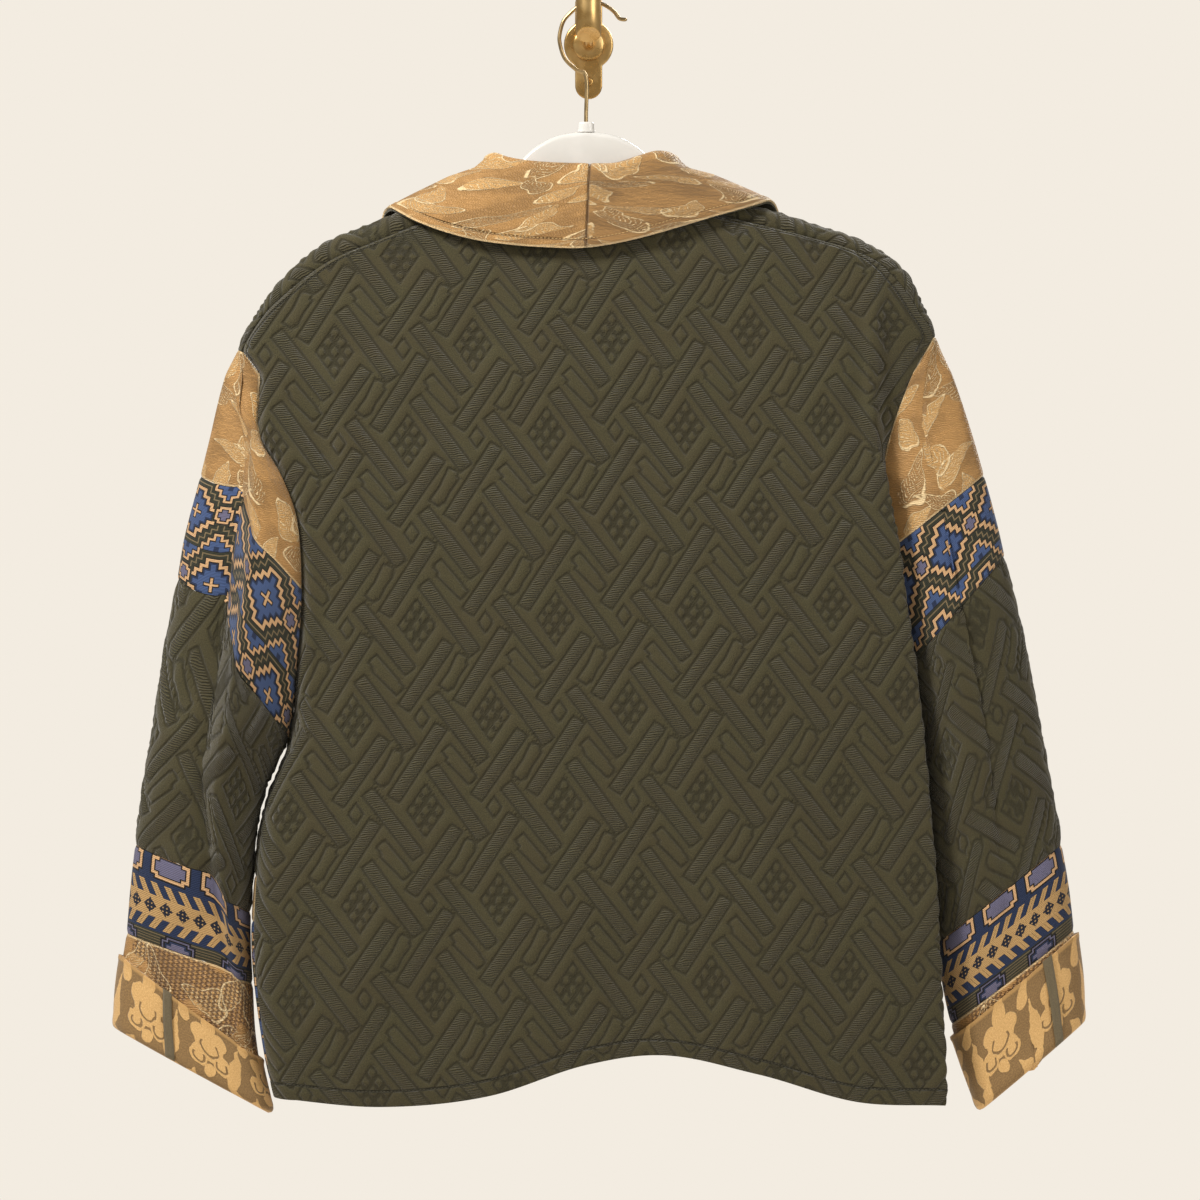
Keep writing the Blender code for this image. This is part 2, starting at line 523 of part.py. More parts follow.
def cuff_grid(side):
    """The cuff's outer face: from the turn at the sleeve's end up the outside."""
    facing = 1.0 if side == "left" else -1.0
    end = sleeve_rows(side, -5)[:, :-1]
    across = np.clip((end[0, :, 2] - end[0, :, 2].min()) / np.ptp(end[0, :, 2]), 0, 1)
    inner, outer = CUFF_TOP[side]
    top = inner + (outer - inner) * across
    lines = slanted(side, np.full(len(across), -5.0), top, CUFF_STEPS)
    outward = unit(grid_normals(lines, True)) * -facing
    down = unit(lines[0] - lines[1])
    lowest, away = lines[0], outward[0]
    turn = [
        lowest + down * CUFF_TURN - away * 1.6,
        lowest + down * CUFF_TURN + away * 1.2,
        lowest + down * CUFF_TURN * 0.5 + away * (CUFF_OFFSET - 0.5),
    ]
    return np.concatenate([turn, lines + outward * CUFF_OFFSET])


def strap_grid(side, cuff):
    """The strap lies on the cuff, from just above its upper edge down to the turn."""
    back_half = cuff[:, : cuff.shape[1] * 3 // 5]
    rows = back_half[2:]
    middle = rows[len(rows) // 2, :, 0]
    sign = -1 if side == "left" else 1
    order = np.argsort(middle * sign)
    centre = np.interp(STRAP_X[side] * sign, (middle * sign)[order], order.astype(float))
    low = int(centre)
    spacing = np.linalg.norm(rows[len(rows) // 2, low + 1] - rows[len(rows) // 2, low])
    offsets = np.array([-0.5, 0.0, 0.5]) * STRAP_WIDTH / spacing
    columns = centre + offsets
    low = np.floor(columns).astype(int)
    part = (columns - low)[None, :, None]
    grid = rows[:, low] * (1 - part) + rows[:, low + 1] * part
    above = grid[-1] + unit(grid[-1] - grid[-2]) * 1.5
    return np.concatenate([grid, above[None]])


def collar_half(side):
    """Half of the collar's middle surface: from the seam up the stand, over the roll, down the fall."""
    sign = -1.0 if side == "left" else 1.0
    table = dict(COLLAR, **(COLLAR_LEFT if side == "left" else {}))
    station = np.array(COLLAR_AT)
    value = {name: curve(table["station"], table[name], station) for name in table if name != "station"}
    sewn, roll, edge = (
        points(sign * value[k + " x"], value[k + " y"], value[k + " z"]) for k in "nre"
    )
    turn = np.radians(value["side"])
    out = points(sign * np.sin(turn), -np.cos(turn), 0 * turn)
    up = unit(roll - sewn)
    size = np.minimum(COLLAR_ROLL, np.linalg.norm(roll - sewn, axis=1) * 0.45)[:, None]
    centre = roll - up * size
    control = [sewn, sewn + (centre - out * size - sewn) * 0.5]
    control += [centre + size * (up * math.sin(a) - out * math.cos(a)) for a in (0.0, 0.8, 1.57, 2.34, 3.14)]
    fall = centre + out * size
    control += [fall + (edge - fall) * s + out * 2.0 * math.sin(math.pi * s) for s in (0.35, 0.7)] + [edge]
    return np.array(control)


def collar_grid():
    left, right = collar_half("left"), collar_half("right")
    middle = (left[:, :1] + right[:, :1]) / 2
    return np.concatenate([left[:, :0:-1], middle, right[:, 1:]], axis=1)


def make_loft(name, rings, material):
    """A solid through rings of the same number of points, with flat ends."""
    count = len(rings[0])
    faces = [list(range(count))[::-1], [(len(rings) - 1) * count + i for i in range(count)]]
    for r in range(len(rings) - 1):
        for i in range(count):
            j = (i + 1) % count
            faces.append([r * count + i, r * count + j, (r + 1) * count + j, (r + 1) * count + i])
    return make_mesh(name, np.concatenate(rings), faces, material)


def make_rod(name, path, radius, material, sides=2):
    shape = bpy.data.curves.new(name, "CURVE")
    shape.dimensions = "3D"
    spline = shape.splines.new("POLY")
    spline.points.add(len(path) - 1)
    for point, place in zip(spline.points, path):
        point.co = (*(np.asarray(place) * MM), 1)
    shape.bevel_depth = radius * MM
    shape.bevel_resolution = sides
    shape.use_fill_caps = True
    thing = bpy.data.objects.new(name, shape)
    bpy.context.scene.collection.objects.link(thing)
    shape.materials.append(material)
    return thing


def crest_z(x):
    """Height of the cloth's shoulder line over a place on the hanger."""
    side = "left" if x < 0 else "right"
    rows = np.linspace(12, 17, 60)
    along, high = column(CREST, side + " x", rows), column(CREST, side + " z", rows)
    order = np.argsort(along)
    return float(np.interp(x, along[order], high[order]))


def make_hanger(material):
    """The hanger follows the underside of the shoulders and rises as a dome between the collar's stands."""
    rings = []
    for x in np.linspace(HANGER_END_LEFT, HANGER_END_RIGHT, 27):
        reach = abs(x)
        if reach < HANGER_DOME["x"][-1]:
            top = curve(HANGER_DOME["x"], HANGER_DOME["z"], reach)
        else:
            slope = (crest_z(x + 4) - crest_z(x - 4)) / 8
            top = crest_z(x) - (CLOTH + HANGER_GAP) * math.hypot(1, slope)
        high = float(np.interp(reach, HANGER_HEIGHT["x"], HANGER_HEIGHT["high"]))
        half = HANGER_THICK / 2
        angles = np.radians([0, 45, 90, 135, 180])
        upper = [(half * math.cos(a), top - half + half * math.sin(a)) for a in angles]
        lower = [(-half * math.cos(a), top - high + half - half * math.sin(a)) for a in angles]
        rings.append([(x, HANG_Y + y, z) for y, z in upper + lower])
    return make_loft("hanger", np.array(rings), material)


def make_hanger_parts(plastic, brass):
    make_hanger(plastic)
    boss_top, boss_low = HANGER_DOME["z"][0] + 7.0, HANGER_DOME["z"][0] + SEAM_GAP
    turn = np.linspace(0, 2 * math.pi, 17)[:-1]
    rings = [
        points(r * np.cos(turn), HANG_Y + r * np.sin(turn) * 0.55, z)
        for r, z in ((6.4, boss_low), (6.4, boss_top - 1.5), (5.2, boss_top))
    ]
    make_loft("hanger_boss", rings, plastic)
    steps = np.linspace(0, len(HOOK_WIRE["x"]) - 1, 33)
    x, z = (curve(range(len(HOOK_WIRE[k])), HOOK_WIRE[k], steps) for k in "xz")
    z[0] = boss_top + SEAM_GAP
    make_rod("hanger_wire", points(x + HANG_X, HANG_Y, z), WIRE_RADIUS, brass, 1)


def capsule_reach(angle):
    """Distance from the plate's centre to its outline: a disc with a lobe above and below."""
    sine, cosine = abs(math.sin(angle)), abs(math.cos(angle))
    reach = PLATE_RADIUS
    if sine > 0 and LOBE_RADIUS / sine * cosine < LOBE_REACH:
        return max(reach, LOBE_RADIUS / sine)
    root = LOBE_RADIUS ** 2 - (LOBE_REACH * sine) ** 2
    return max(reach, LOBE_REACH * cosine + math.sqrt(max(root, 0.0)))


def disc(radius_x, radius_z, y, z=0.0, count=24):
    turn = np.linspace(0, 2 * math.pi, count + 1)[:-1]
    return points(-HANG_X + radius_x * np.cos(turn), y, z + radius_z * np.sin(turn))


def make_wall_hook(brass):
    turn = np.linspace(0, 2 * math.pi, 41)[:-1]
    reach = np.array([capsule_reach(a) for a in turn])
    outline = [
        points(-HANG_X + (reach - rim) * np.sin(turn), y, (reach - rim) * np.cos(turn))
        for rim, y in ((0, 0), (0, 1.2 - PLATE_THICK), (1.2, -PLATE_THICK))
    ]
    make_loft("wall_plate", [ring[::-1] for ring in outline], brass)
    front = -PLATE_THICK - SEAM_GAP
    rings = [disc(r, r, y) for r, y in (
        (BOSS_RADIUS, front), (BOSS_RADIUS, front - BOSS_DEEP + 1.5), (BOSS_RADIUS - 1.5, front - BOSS_DEEP))]
    make_loft("hook_boss", rings, brass)
    for name, z in (("plate_screw_top", SCREW_Z), ("plate_screw_bottom", -SCREW_Z)):
        rings = [disc(r, r, front - y, z, 16) for r, y in (
            (SCREW_RADIUS, 0), (SCREW_RADIUS * 0.8, SCREW_HIGH * 0.7), (SCREW_RADIUS * 0.3, SCREW_HIGH))]
        make_loft(name, rings, brass)
    steps = np.linspace(0, len(ARM["y"]) - 1, 15)
    y, z = (curve(range(len(ARM[k])), ARM[k], steps) for k in "yz")
    z[:2], z[-2:] = z[0], z[-1]
    y[0] = front - BOSS_DEEP - SEAM_GAP
    y[-1] = TUBE_Y + TUBE_RADIUS + SEAM_GAP
    make_rod("hook_arm", points(0, y, z), ARM_RADIUS, brass, 2)
    turn = np.linspace(0, 2 * math.pi, 25)[:-1]
    rings = []
    for radius, z, slope in ((TUBE_RADIUS, 2.4, 0.56), (TUBE_RADIUS, TUBE_TOP - 2, 0), (TUBE_RADIUS - 2, TUBE_TOP, 0)):
        rings.append(points(-HANG_X + radius * np.cos(turn), TUBE_Y + radius * np.sin(turn),
                            z - slope * radius * np.sin(turn)))
    make_loft("hook_tube", rings, brass)


def panel(name, grid, material, closed=False, facing=1, **wall):
    return {"name": name, "grid": grid, "closed": closed, "facing": facing, "material": material,
            "wall": wall}


def straighten(line):
    """Puts every other point midway between its neighbours, as the coarser panel beyond the seam has it."""
    line[1:-1:2] = (line[:-2:2] + line[2::2]) / 2


def body_panels(looks):
    """Back, fronts and sleeves, which share their points along each seam."""
    below = np.linspace(0, 5, ROWS_BELOW + 1)
    armhole = np.linspace(5, 11, ROWS_ARMHOLE + 1)
    shoulder = np.linspace(12, 17, ROWS_SHOULDER + 1)
    back = back_rows(np.concatenate([below, armhole[1:], shoulder]))
    for end in (0, -1):
        straighten(back[: ROWS_BELOW + 1, end])
    panels = [panel("back", back, looks["olive"], step=(2, 2), relief=quilting(back))]
    angles = np.linspace(-90, 90, FOLD_STEPS + 1)
    for side in ("left", "right"):
        facing = 1 if side == "left" else -1
        over = shoulder_rows(side, shoulder, angles)
        down = np.concatenate([armhole[::-1][::2], below[::-1][2::2]])
        front = front_rows(side, down, over[-1])
        split = {"yoke": (0, 11), "band": (10, 12), "lower": (11, len(down))}
        for piece, (start, stop) in split.items():
            lines = front[start:stop]
            if piece == "yoke":
                lines = np.concatenate([over, lines])
            look = {"yoke": "olive", "band": "gold", "lower": "kilim"}[piece]
            relief = quilting(lines) if piece == "yoke" else None
            panels.append(panel(f"front_{piece}_{side}", lines, looks[look], facing=facing,
                                step=(1, 2), relief=relief))
        arcs = sleeve_rows(side, armhole[::-1])
        straighten(arcs[:, -1])
        arcs[0] = armhole_top(side, arcs.shape[1], angles)
        gold = GOLD_STEPS[side]
        panels.append(panel(f"sleeve_gold_{side}", arcs[: gold + 1], looks["gold"], facing=facing,
                            step=(1, 1)))
        panels.append(panel(f"sleeve_kilim_{side}", arcs[gold:], looks["kilim"], facing=facing,
                            step=(1, 1), gap=SLEEVE_GAP[side]))
        for piece, start, stop, steps, look in (("lower", 5, 0, 10, "olive"), ("border", 0, -2, 3, "border"),
                                                ("end", -2, -5, 4, "gold")):
            tube = sleeve_rows(side, np.linspace(start, stop, steps + 1))[:, :-1]
            relief = quilting(tube) if piece == "lower" else None
            panels.append(panel(f"sleeve_{piece}_{side}", tube, looks[look], closed=True, facing=facing,
                                step=(1, 1), relief=relief, gap=SLEEVE_GAP[side]))
    return panels


def build():
    for thing in list(bpy.data.objects):
        bpy.data.objects.remove(thing, do_unlink=True)
    looks = {name: make_material(name) for name in COLOURS}
    panels = body_panels(looks)
    shared_normals(panels)
    for one in panels:
        make_wall(one["name"], one["grid"], one["normal"], one["closed"], one["facing"],
                  one["material"], **one["wall"])
    for side in ("left", "right"):
        facing = -1 if side == "left" else 1
        cuff = cuff_grid(side)
        normal = unit(grid_normals(cuff, True)) * facing
        make_wall(f"cuff_{side}", cuff, normal, True, facing, looks["damask"], step=(3, 1))
        strap = strap_grid(side, cuff)
        normal = unit(grid_normals(strap, False)) * facing
        make_wall(f"strap_{side}", strap, normal, False, facing, looks["khaki"], thick=STRAP_THICK,
                  step=(1, 1), out=LAYER_GAP + STRAP_THICK)
    collar = collar_grid()
    normal = unit(grid_normals(collar, False))
    half = len(COLLAR_AT)
    for name, columns in (("collar_left", slice(0, half)), ("collar_right", slice(half - 1, None))):
        make_wall(name, collar[:, columns], -normal[:, columns], False, -1, looks["gold"],
                  step=(1, 1), out=SEAM_GAP / 2 + CLOTH)
    make_wall("under_collar", collar, normal, False, 1, looks["olive"], thick=THIN_CLOTH, step=(1, 1),
              out=SEAM_GAP / 2 + THIN_CLOTH)
    make_hanger_parts(looks["plastic"], looks["brass"])
    make_wall_hook(looks["brass"])


build()
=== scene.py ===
"""Looks of a shawl collar jacket of pieced cloth, back outwards on a hanger on a brass wall hook.

Lengths in the tables are millimetres. X is to the right in the back view, Z is up, the wall is the
plane Y = 0 and a larger -Y is nearer the viewer.
"""

import json
import math

import bpy
import mathutils
import numpy as np
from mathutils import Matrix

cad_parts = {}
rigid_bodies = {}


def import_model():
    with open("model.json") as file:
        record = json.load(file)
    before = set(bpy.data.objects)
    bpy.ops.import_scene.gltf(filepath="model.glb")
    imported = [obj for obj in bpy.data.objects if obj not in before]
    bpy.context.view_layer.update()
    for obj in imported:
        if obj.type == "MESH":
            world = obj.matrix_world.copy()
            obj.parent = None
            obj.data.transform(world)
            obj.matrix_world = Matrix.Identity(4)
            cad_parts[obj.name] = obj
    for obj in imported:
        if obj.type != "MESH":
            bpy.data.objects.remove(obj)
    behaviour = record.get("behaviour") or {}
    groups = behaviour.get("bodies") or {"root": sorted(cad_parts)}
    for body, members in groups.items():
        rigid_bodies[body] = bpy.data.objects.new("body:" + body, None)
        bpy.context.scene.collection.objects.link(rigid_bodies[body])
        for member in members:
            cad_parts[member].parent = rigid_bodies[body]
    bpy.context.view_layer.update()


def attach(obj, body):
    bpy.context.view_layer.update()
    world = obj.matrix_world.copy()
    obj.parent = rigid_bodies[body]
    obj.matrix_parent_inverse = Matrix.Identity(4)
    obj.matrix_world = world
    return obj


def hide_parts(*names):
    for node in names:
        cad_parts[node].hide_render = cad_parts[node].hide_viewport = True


MM = 0.001
CLOTH = 2.2             # wall of the quilted and woven cloth
INSIDE_INSET = 0.3      # the wall's inner side ends this much further from a seam
THIN_CLOTH = 1.6        # wall of the under collar
SEAM_GAP = 0.3          # space between two pieces at a seam
LAYER_GAP = 0.5         # space between layers that lie on each other
HANG_X = -2.0           # the hanger's wire hangs beside the hook's centre
HANG_Y = -75.0          # the hanger's plane, measured from the wall
CUFF_OFFSET = 3.2       # the turned-back cuff stands this far off the sleeve
CUFF_TURN = 3.0         # depth of the turn at the sleeve's end
STRAP_WIDTH, STRAP_THICK = 9.0, 1.6
COLLAR_ROLL = 4.6       # radius of the collar's roll line
ROLL_ANGLES = (0.0, 0.8, 1.57, 2.34, 3.14)   # over it, in radians
HANGER_THICK = 9.0
HANGER_GAP = 2.2        # space between the hanger and the cloth that it holds
HANGER_END_LEFT, HANGER_END_RIGHT = -212.0, 212.0
WIRE_RADIUS = 1.6
PLATE_RADIUS, PLATE_THICK = 20.0, 4.0
LOBE_RADIUS, LOBE_REACH = 11.0, 33.0
BOSS_RADIUS, BOSS_DEEP = 13.0, 5.0
ARM_RADIUS = 4.0
TUBE_RADIUS, TUBE_Y, TUBE_TOP = 10.0, -94.5, 60.0
SCREW_RADIUS, SCREW_Z, SCREW_HIGH = 4.0, 30.0, 1.6

# Rows of the back, from the hem (0) by the underarm (5) and the armhole's top (12) to the neck (17).
# The right side folds over itself at "fold x" before it reaches its end.
BACK = {
    "row":     [0, 1, 2, 3, 4, 5, 6, 7, 8, 9, 10, 11, 12, 13, 14, 15, 16, 17],
    "left x":  [-250, -257, -266, -265, -258, -238, -232, -227, -230, -243, -262, -262, -275, -262,
                -242, -208, -166, -84],
    "left z":  [-848, -812, -738, -678, -618, -560, -512, -450, -388, -350, -315, -268, -251, -226,
                -205, -179, -161, -128],
    "left y":  [-90, -90, -90, -88, -83, -75, -91, -98, -100, -99, -96, -90, -85, -87, -87.5, -87.5,
                -87.5, -86],
    "right x": [279, 279, 275, 271, 266, 258, 254, 249, 243.5, 238, 243, 262, 278, 266, 250, 226,
                176, 78],
    "right z": [-854, -815, -737, -667, -585, -502, -470, -432, -390, -356, -320, -268, -240, -217,
                -194, -174, -158, -134],
    "right y": [-75, -75, -75, -75, -75, -75, -80, -82, -83, -84, -86, -87, -85, -87, -87.5, -87.5,
                -87.5, -86],
    "fold x":  [287, 286, 282, 278, 271, 262, 257, 252, 246, 239, 231, 225, 227, 230, 229, 214,
                166, 70],
    "edge y":  [-105, -107, -108, -108, -107, -106, -106, -105, -105, -104, -102, -99, -96, -94, -92,
                -91, -91, -90],
    "mid y":   [-117, -119, -119, -118, -116, -114, -112, -110, -108, -106, -104, -102, -100, -99,
                -98, -96, -95, -98],
    "turn":    [18, 18, 18, 18, 18, 18, 14, 12, 12, 12, 12, 10, 10, 10, 10, 10, 10, 10],
}
HEM = {"x": [-250, -165, -77, 2, 60, 137, 219, 287], "lift": [0, -6, 4, 30, 38, 24, 2, 0]}
NECK_DIP = 15.0

# The crest of each shoulder, at the same rows as the shoulder seam on the back.
CREST = {
    "row":     [12, 13, 14, 15, 16, 17],
    "left x":  [-280, -269, -250, -216, -171, -81],
    "left z":  [-249, -228, -200, -168, -147, -114],
    "right x": [281, 270, 256, 229, 179, 75],
    "right z": [-238, -213, -187, -166, -147, -117],
}

# Rows of the fronts: the inner end runs down the neckline and the front edge.
FRONT = {
    "row":     [0, 1, 2, 3, 4, 5, 6, 7, 8, 9, 10, 11, 12],
    "inner x": [4, 4, 4, 4, 4, 4, 13, 34, 53, 64, 71, 76, 80],
    "inner z": [-837, -790, -715, -648, -578, -508, -455, -371, -291, -232, -187, -152, -131],
    "edge y":  [-46, -46, -46, -46, -47, -48, -49, -50, -52, -54, -57, -60, -63],
    "mid y":   [-42, -42, -42, -42, -43, -44, -45, -46, -48, -50, -53, -57, -62],
    "turn":    [16, 16, 16, 16, 15, 14, 14, 12, 12, 12, 12, 10, 8],
    "bulge":   [2, 4.5, 5, 4.5, 3.5, 1.5, 0, 0, 0, 0, 0, 0, 0],
    "sag":     [0, 0, 0, 0, 0, 0, 0, 0, 0, 0.1, 0.3, 0.6, 1.0],
}

# Lines across each sleeve. Rows 11 to 5 start on the armhole, and rows 5 to -5 go round the sleeve:
# 5 is the underarm, 0 the top of the border, -2 its end, and -5 the sleeve's end.
SLEEVE_LEFT = {
    "row":     [-5, -3, -2, -1, 0, 2, 3.5, 5, 6, 7, 8, 9, 10, 11],
    "outer x": [-377, -374, -369, -366, -362, -352, -344, -328, -322, -311, -302, -297, -292, -286],
    "outer z": [-790, -750, -717, -682, -646, -578, -525, -433, -398, -356, -320, -298, -278, -260],
    "inner x": [-254, -265, -267.5, -269, -269, -263.7, -254.3, -238, -232, -227, -230, -243, -262,
                -262],
    "inner z": [-858, -800, -757, -728, -700, -630, -592, -560, -512, -450, -388, -350, -315, -268],
    "deep":    [26, 27, 28, 29, 30, 30, 30, 28, 24, 20, 16, 12, 8, 4],
    "ridge":   [0.10, 0.10, 0.12, 0.16, 0.22, 0.38, 0.40, 0.47, 0.48, 0.48, 0.50, 0.45, 0.35, 0.30],
    "step":    [0, 3, 6, 9, 12, 15, 15, 15, 14, 13, 12, 8, 2, 0],
    "slip":    [0, 0.05, 0.12, 0.2, 0.28, 0.4, 0.42, 0.42, 0.42, 0.42, 0.4, 0.25, 0.1, 0],
    "round":   [0.45, 0.45, 0.45, 0.45, 0.45, 0.45, 0.5, 0.6, 0.7, 0.7, 0.7, 0.7, 0.8, 1],
}
SLEEVE_RIGHT = {
    "row":     [-5, -3, -2, -1, 0, 2, 3.5, 5, 6, 7, 8, 9, 10, 11],
    "outer x": [398, 396, 392, 388, 382, 366, 354, 336, 331, 324, 316, 308, 299, 288],
    "outer z": [-786, -745, -715, -681, -646, -560, -494, -415, -393, -366, -338, -312, -283, -254],
    "inner x": [316, 301, 293, 286, 281, 275, 270, 258, 254, 249, 243.5, 238, 243, 262],
    "inner z": [-856, -815, -790, -758, -725, -625, -560, -502, -470, -432, -390, -356, -320, -268],
    "deep":    [26, 27, 28, 28, 29, 30, 30, 28, 24, 20, 16, 12, 8, 4],
    "ridge":   [0.45, 0.45, 0.45, 0.45, 0.45, 0.45, 0.45, 0.45, 0.45, 0.45, 0.45, 0.45, 0.4, 0.4],
    "step":    [0, 0, 1, 2, 3, 3, 3, 2, 1, 0, 0, 0, 0, 0],
    "slip":    [0, 0, 0, 0, 0, 0, 0, 0, 0, 0, 0, 0, 0, 0],
    "round":   [0.45, 0.45, 0.45, 0.45, 0.45, 0.5, 0.6, 0.9, 1.2, 1.2, 1.2, 1.2, 1.2, 1.2],
}
SLEEVE_SET_BACK = {"left": 4.0, "right": 8.0}   # the hanging part of a sleeve lies nearer the wall
GOLD_STEPS = {"left": 9, "right": 8}   # grid rows of the gold top, counted down the armhole

# Stations of the collar's right half, from the centre back (0) over the shoulder (4) to the front's
# end (11). N is where it is sewn on, R its roll line and E its outer edge. "side" is the direction
# that its outer side looks in, from the back (0) to the front (180).
COLLAR = {
    "station": [0, 1, 2, 3, 3.5, 3.75, 4, 4.25, 4.5, 5, 6, 7, 8, 9, 10, 11],
    "n x":     [0, 27, 52, 66, 71, 71.5, 71.5, 72, 72.5, 73, 68.4, 61.4, 50.4, 31.4, 15, 9],
    "n z":     [-145.4, -144.3, -140.2, -136.8, -128, -121, -116, -119, -127, -148, -184, -229, -289,
                -369, -440, -466],
    "n y":     [-96.9, -95.5, -91.5, -88, -83, -79, -75, -71, -66, -58, -54.5, -51.2, -49.2, -47.2,
                -46.2, -46],
    "r x":     [3, 28, 50, 63, 67, 68.5, 69.5, 70, 70, 66, 60, 53, 42, 24, 9, 4.8],
    "r z":     [-102, -101, -93, -92, -93, -94, -95, -98, -106, -130, -172, -219, -280, -361, -436,
                -463],
    "r y":     [-93, -93, -89, -84, -79, -77, -75, -71, -66, -57.5, -53, -49.5, -47.5, -45.7, -44.5,
                -44.3],
    "e x":     [0, 32, 66, 103, 128, 139, 147, 152, 156, 162, 158, 148, 128, 92, 42, 16],
    "e z":     [-168, -163, -154, -143, -136, -132.5, -130, -133, -142, -182, -245, -310, -375, -440,
                -485, -492],
    "e y":     [-103, -102.5, -100.5, -98, -93, -86, -75, -64, -57.5, -54, -50, -46.5, -43.5, -41.5,
                -40.5, -40],
    "side":    [0, 0, 10, 35, 60, 75, 90, 105, 120, 145, 165, 172, 178, 180, 180, 180],
}
# The left half differs where the photo shows it: a longer fall over the shoulder.
COLLAR_LEFT = {
    "n x": [0, 27, 54, 70, 78, 78.5, 78, 77.5, 77, 75, 68.4, 61.4, 50.4, 31.4, 15, 9],
    "n z": [-145.4, -143.2, -137.4, -132, -124, -118, -113, -117, -126, -148, -184, -229, -289, -369,
            -440, -466],
    "r x": [-3, 32, 58, 70, 74, 75.5, 76, 76, 74, 68, 60, 53, 42, 24, 9, 4.8],
    "r z": [-102, -101, -98, -94, -93, -93.5, -94, -97, -105, -130, -172, -219, -280, -361, -436, -463],
    "e x": [0, 45, 79, 111, 138, 149, 157, 162, 165, 168, 160, 148, 128, 92, 42, 16],
    "e z": [-168, -167, -163, -156, -146, -140, -136, -138.5, -148, -188, -250, -310, -375, -440,
            -485, -492],
}
# Where the collar is sampled: closer together where it rounds the shoulder.
COLLAR_AT = [0, 0.8, 1.6, 2.4, 3, 3.3, 3.55, 3.75, 4, 4.2, 4.4, 4.7, 5.1, 6, 7, 8, 9, 10, 11]
# The rows of each sleeve where its cuff's upper edge lies, at the inner and the outer side.
CUFF_TOP = {"left": (-3.55, -2.5), "right": (-2.35, -2.05)}
CUFF_STEPS = 5
STRAP_X = {"left": -334.0, "right": 376.0}

# Top of the hanger between the collar's stands, and its height below that.
HANGER_DOME = {"x": [0, 29, 50, 57, 62, 70, 84], "z": [-73, -79, -94, -103, -117, -126, -126]}
HANGER_HEIGHT = {"x": [0, 60, 120, 225], "high": [40, 30, 22, 13]}
# Centre of the hanger's wire, from the hanger up and round the arm.
HOOK_WIRE = {
    "x": [0, 0, -8, -17, -21, -21, -18, -12, -5, 3, 12, 18, 23, 27, 33],
    "z": [-62, -30, -24, -15, -3, 5, 15, 22, 27.5, 30.4, 29, 26, 22, 17, 16],
}
ARM = {"y": [-9, -15, -22, -35, -50, -66, -76, -84], "z": [0, 0, 0.9, 7, 17.5, 23.6, 24.4, 24.4]}

# Numbers of grid steps: the wide steps of the cut, and how many fine ones each has
FINE = 8
SIDE_STEPS, MIDDLE_STEPS = 15, 26 * FINE
ROWS_BELOW, ROWS_ARMHOLE, ROWS_SHOULDER = 16, 14, 10
FOLD_STEPS = 18
TURN_STEPS = 16
FRONT_MIDDLE_STEPS = ROWS_SHOULDER * FINE - TURN_STEPS
SLEEVE_WIDE = 15
FINE_STEP = 2.9         # usual distance between fine points across a sleeve, cuff or collar
TUBE_FINE = 9           # fine rows in each row of the sleeve below the underarm
# The same for each wide step of the collar: up the stand, over the roll and down the fall
COLLAR_FINE = [4, 4, 3, 2, 2, 2, 3, 8, 8]
NO_EDGE = 1000.0        # distance to a border that a closed tube doesn't have
NO_STITCH = 60.0        # distance to a line of stitching on a piece without one
YOKE_SHARE, BAND_SHARE = 3 / 8, 1 / 2   # ends of the yoke and the band, of the front below the underarm
SHOULDER_SEAM_START = 0.762   # share of the back's rows below its shoulder seam

# The quilting: one repeat's two steps, and its bars and lozenges about the middle of a diamond
QUILT_START = (-31.2, -317.2)
QUILT_ACROSS, QUILT_DOWN = (110.9, 5.4), (58.9, -71.2)
QUILT_HIGH = 2.3
# x, z, run, rise, half length, half width
RIBBED_BARS = [
    (-6.9, 38.3, 37.5, 58.1, 34.6, 5.5), (26.0, 6.1, 41.3, -55.9, 34.6, 5.5),
    (6.9, -39.8, 36.7, 52.8, 32.0, 5.5), (-26.0, -10.7, 41.3, -52.0, 33.0, 5.5),
]
PLAIN_BARS = [
    (25.2, 39.8, 18.4, -21.4, 14.0, 4.6), (-28.3, 35.2, 12.2, 26.0, 14.0, 4.6),
    (-23.7, -42.8, 18.4, -18.4, 14.0, 4.6), (29.1, -39.0, 15.3, 21.4, 14.0, 4.6),
]
# x, z, half width, half height
LOZENGES = [((i - j) * 5.3, (i + j) * 7.6, 4.3, 6.2) for i in (-1, 0, 1) for j in (-1, 0, 1)]
LOZENGES.append((55.0, 2.7, 6.0, 8.8))
